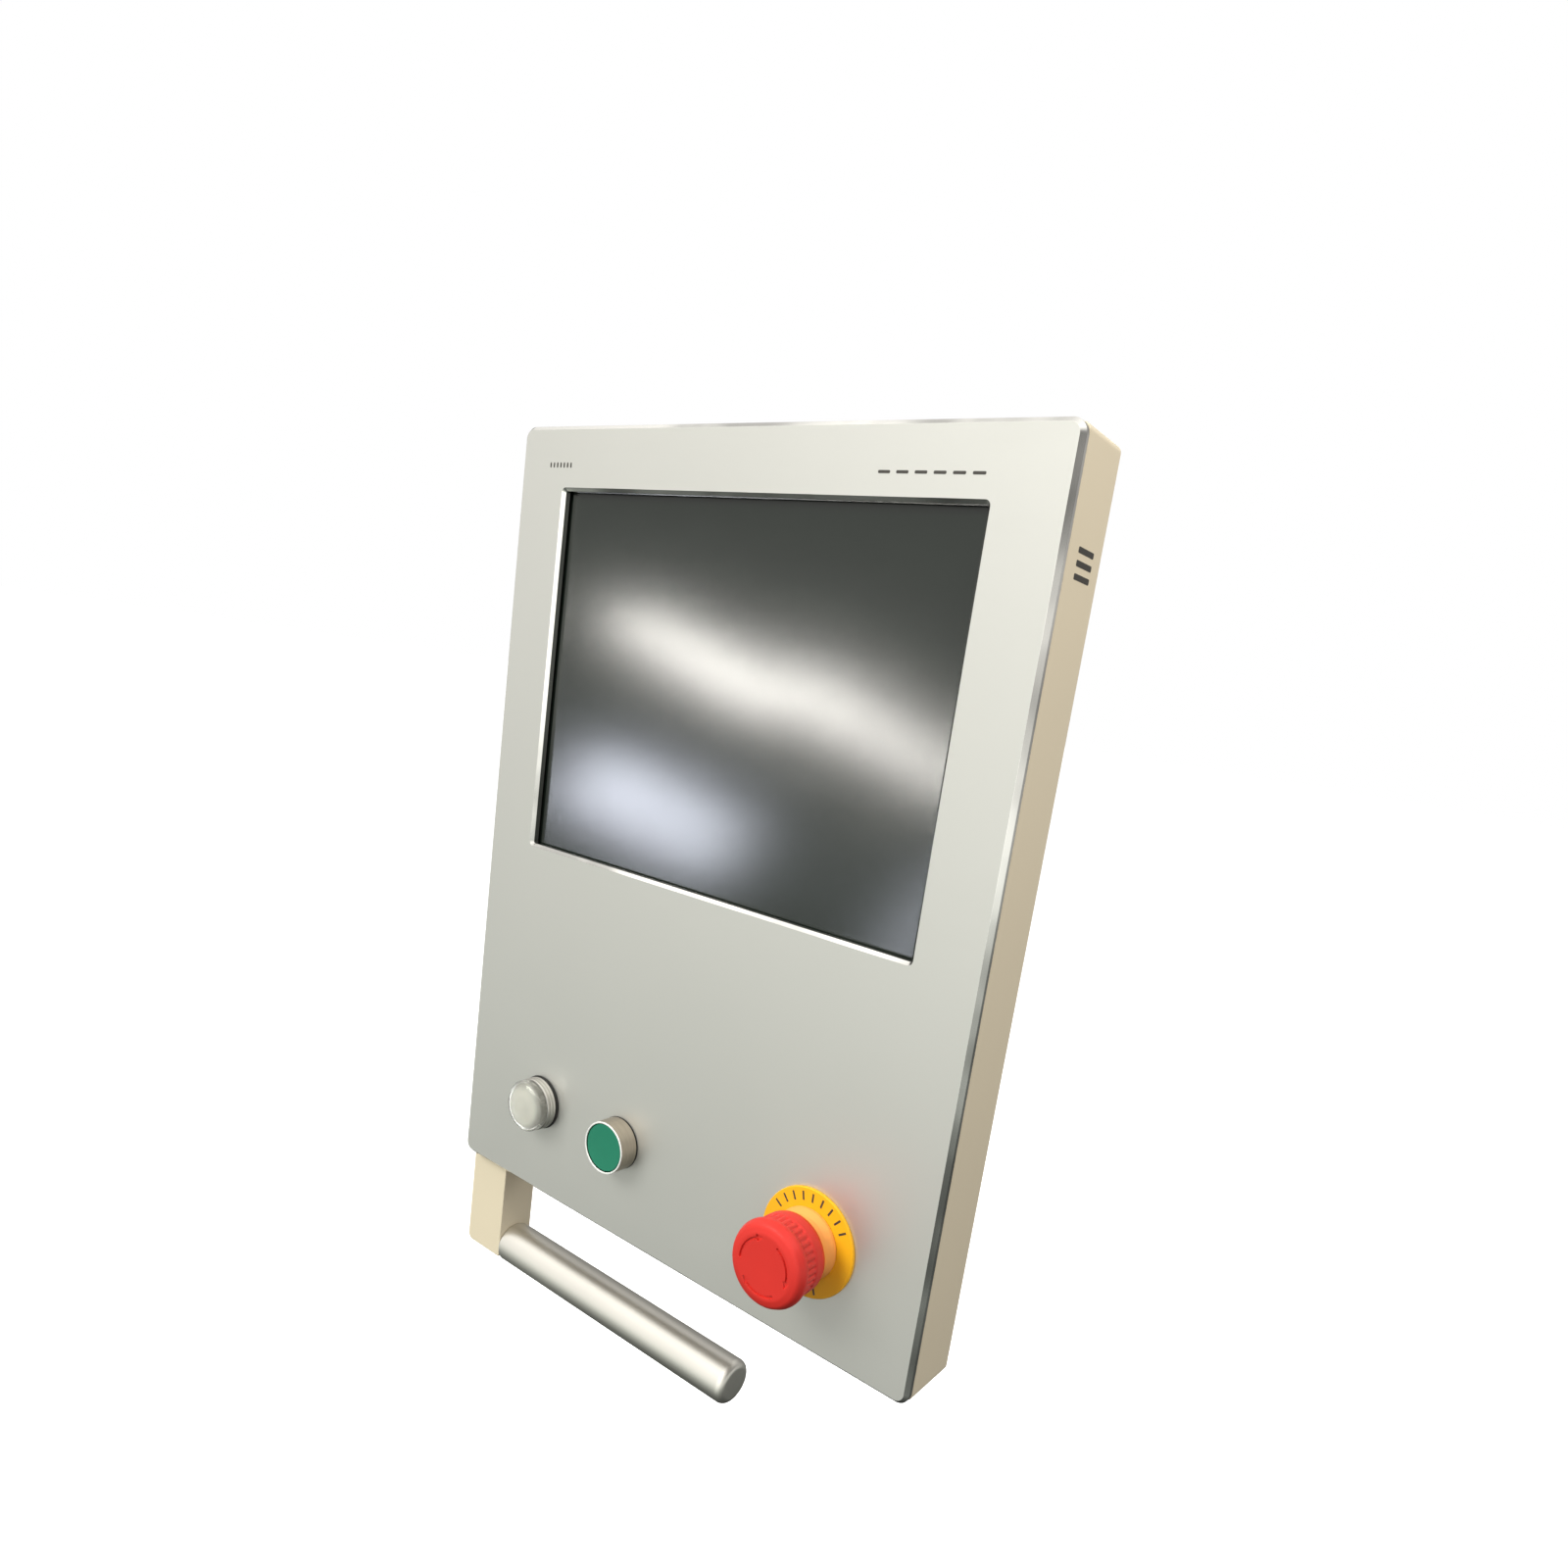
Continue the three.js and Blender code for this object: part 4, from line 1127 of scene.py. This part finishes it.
class PANEL_OT_inside(PanelMaker, bpy.types.Operator):
    """Finishes of the display, electronics and fastenings inside"""

    bl_idname = "touch_panel.inside"
    bl_label = "Inner pieces"

    def build(self, size):
        dress("dark_polariser", "lcd_cell")
        dress("white_plastic", "lcd_backlight", "start_plunger")
        dress("zinc_plate", "display_carrier", "network_socket", "coin_cell", "start_nut",
              "arm_backing_plate", "grip_bolt", "handle_screw_1", "handle_screw_2",
              *[f"plate_nut_{i + 1}" for i in range(4)])
        dress("circuit_board", "main_board", "inverter_board")
        dress("bare_aluminium", "processor_heatsink")
        dress("green_plastic", "power_terminal")
        dress("grey_plastic", "power_capacitor", "pilot_body", "pilot_nut", "pilot_led_block",
              "start_contact_block", "estop_stem", "estop_nut", "estop_contact_block")
        dress("amber_film", "ribbon_cable")


class PANEL_OT_stage(PanelMaker, bpy.types.Operator):
    """Pale floor, soft studio light and the camera"""

    bl_idname = "touch_panel.stage"
    bl_label = "Stage"

    def build(self, size):
        scene = bpy.context.scene
        self.floor(40, -0.62)
        self.sky(scene)
        self.lamp("key", (-0.75, -1.6, 1.15), (0, 0, 0), (1.4, 1.0), 53, (0.99, 1.0, 0.94))
        self.lamp("right", (0.6, -0.2, 0.55), (0.16, 0, 0.2), (0.3, 0.3), 2.6, (1.0, 0.95, 0.88))
        self.lamp("rear", (0.5, 2.2, 1.4), (0, 0, 0), (1.4, 1.2), 30, (0.99, 0.99, 0.98))
        eye = Vector((0.333689, FRONT - 0.368862, 0.095737))
        self.camera(scene, eye)
        warm, cool = (1.0, 0.97, 0.91), (0.84, 0.88, 1.0)
        for name, across, height, area, power, colour in (
                ("left lamp", -20, 100, (0.32, 0.055), 3.2, warm),
                ("middle lamp", 30, 92, (0.30, 0.03), 0.8, warm),
                ("right lamp", 89, 81, (0.40, 0.055), 4.2, warm),
                ("window", -38, 23, (0.32, 0.13), 3.8, cool),
                ("far window", 124, 2, (0.06, 0.25), 0.9, cool)):
            self.mirrored(name, eye, across * MM, height * MM, area, power, colour)
        scene.view_settings.view_transform = "Standard"
        scene.view_settings.look = "None"

    def camera(self, scene, eye):
        lens = bpy.data.cameras.new("camera")
        lens.sensor_width = 36.0
        lens.lens = 23.644
        lens.shift_x = -0.0459
        lens.shift_y = 0.0751
        right = (0.8110536, 0.5649969, 0.1515606)
        up = (-0.2343653, 0.0764602, 0.9691371)
        back = (0.5359711, -0.8215427, 0.1944290)
        view = bpy.data.objects.new("camera", lens)
        view.matrix_world = Matrix.Translation(eye) @ Matrix((right, up, back)).transposed().to_4x4()
        scene.collection.objects.link(view)
        scene.camera = view

    def floor(self, radius, height):
        """A wide disc below the panel, which neither shines on it nor shows in it."""
        shape = Shape()
        shape.cap(shape.ring((x, y, height) for x, y in round_outline(radius, 0, 0, 96)()))
        floor = shape.placed("floor")
        floor.data.materials.append(finish("studio_floor"))
        floor.visible_glossy = False
        floor.visible_diffuse = False

    def sky(self, scene):
        """White behind the object, soft and even on it, and in reflections a room: bright in front at
        eye level and above, dark below and behind, with windows at the side and in front."""
        scene.world = bpy.data.worlds.new("studio")
        sky = Nodes(scene.world)
        here = sky.node("ShaderNodeTexCoord", output="Generated")
        up = sky.axis(here, "Z")
        ahead = 0 - sky.axis(here, "Y")
        right = sky.axis(here, "X")
        level = 0.13 + 0.92 * up.between(-0.95, 0.02) + 0.75 * up.between(0.2, 0.65)
        front = 0.22 + 0.5 * ahead.between(-0.5, 0.35) + 0.85 * ahead.between(0.5, 1.0)
        shaded = 1 - 0.62 * right.between(0.55, 0.85)
        ceiling = 0.7 * up.between(0.45, 0.8)
        side_window = 0.95 * right.between(0.6, 0.85) * up.between(-0.5, -0.1) * (1 - up.between(0.02, 0.2))
        front_window = 0.6 * right.between(0.2, 0.5) * ahead.between(0.45, 0.7) * up.between(-0.3, 0.0)
        rear = 0.34 * (1 - ahead.between(-0.8, -0.4)) * up.between(-0.4, 0.0) * right.between(0.2, 0.5)
        strength = level * front * shaded + ceiling + side_window + front_window + rear
        room = sky.blend(up.between(-0.5, 0.1), (0.94, 1.0, 0.92), (1.0, 0.985, 0.945))
        white = (1.0, 1.0, 1.0)
        soft = 0.12 + 0.52 * up.between(-0.9, 0.7)
        mirrored, even, backdrop = [
            sky.node("ShaderNodeBackground", None, {"Color": colour, "Strength": power})
            for colour, power in ((room, strength), (white, soft), (white, 1.0))]
        glossy = sky.node("ShaderNodeLightPath", output="Is Glossy Ray")
        camera = sky.node("ShaderNodeLightPath", output="Is Camera Ray")
        lit = sky.node("ShaderNodeMixShader", None, {0: glossy, 1: even, 2: mirrored})
        seen = sky.node("ShaderNodeMixShader", None, {0: camera, 1: lit, 2: backdrop})
        sky.feed(sky.tree.nodes.new("ShaderNodeOutputWorld"), "Surface", seen)

    def lamp(self, name, place, target, area, power, colour):
        """A soft rectangular lamp that lights matt surfaces and isn't seen or mirrored."""
        light = bpy.data.lights.new(name, "AREA")
        light.shape = "RECTANGLE"
        light.size, light.size_y = area
        light.energy = power
        light.color = colour
        lamp = bpy.data.objects.new(name, light)
        lamp.location = place
        lamp.rotation_mode = "QUATERNION"
        lamp.rotation_quaternion = (Vector(target) - Vector(place)).to_track_quat("-Z", "Y")
        lamp.visible_camera = False
        lamp.visible_glossy = False
        bpy.context.scene.collection.objects.link(lamp)
        return lamp

    def mirrored(self, name, eye, across, height, area, power, colour):
        """A lamp that the screen alone mirrors to the camera, at a point of its face."""
        distance, roll = 1.5, math.radians(-22)
        point = Vector((across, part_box("touch_glass")[0].y, height))
        ray = (point - eye).normalized()
        ray.y = -ray.y
        lamp = self.lamp(name, point + distance * ray, point, area, power, colour)
        lamp.rotation_quaternion @= Quaternion((0, 0, 1), roll)
        lamp.visible_glossy = True
        lamp.visible_diffuse = False
        group = bpy.data.collections.new(name)
        group.objects.link(bpy.data.objects["screen"])
        lamp.light_linking.receiver_collection = group


MAKER_CLASSES = (
    PANEL_OT_plate, PANEL_OT_marks, PANEL_OT_housing, PANEL_OT_cover, PANEL_OT_arm_mount,
    PANEL_OT_screen, PANEL_OT_pilot, PANEL_OT_start, PANEL_OT_stop, PANEL_OT_legend,
    PANEL_OT_handle, PANEL_OT_springs, PANEL_OT_inside, PANEL_OT_stage,
)


class PANEL_PT_makers(bpy.types.Panel):
    """Lists the makers of the touch panel's pieces"""

    bl_idname = "PANEL_PT_makers"
    bl_label = "Touch panel"
    bl_space_type = "VIEW_3D"
    bl_region_type = "UI"
    bl_category = "Touch panel"

    def draw(self, context):
        column = self.layout.column()
        for group in (context.scene.touch_panel_sizes, context.scene.touch_panel_colours):
            box = column.box()
            for name in group.__annotations__:
                box.prop(group, name)
        for maker in MAKER_CLASSES:
            column.operator(maker.bl_idname)


CLASSES = (PanelSizes, PanelColours, *MAKER_CLASSES, PANEL_PT_makers)


def register():
    for item in CLASSES:
        bpy.utils.register_class(item)
    bpy.types.Scene.touch_panel_sizes = PointerProperty(type=PanelSizes)
    bpy.types.Scene.touch_panel_colours = PointerProperty(type=PanelColours)


def unregister():
    del bpy.types.Scene.touch_panel_colours
    del bpy.types.Scene.touch_panel_sizes
    for item in reversed(CLASSES):
        bpy.utils.unregister_class(item)


def main():
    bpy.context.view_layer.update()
    register()
    for maker in MAKER_CLASSES:
        group, name = maker.bl_idname.split(".")
        getattr(getattr(bpy.ops, group), name)()


if __name__ == "__main__":
    main()
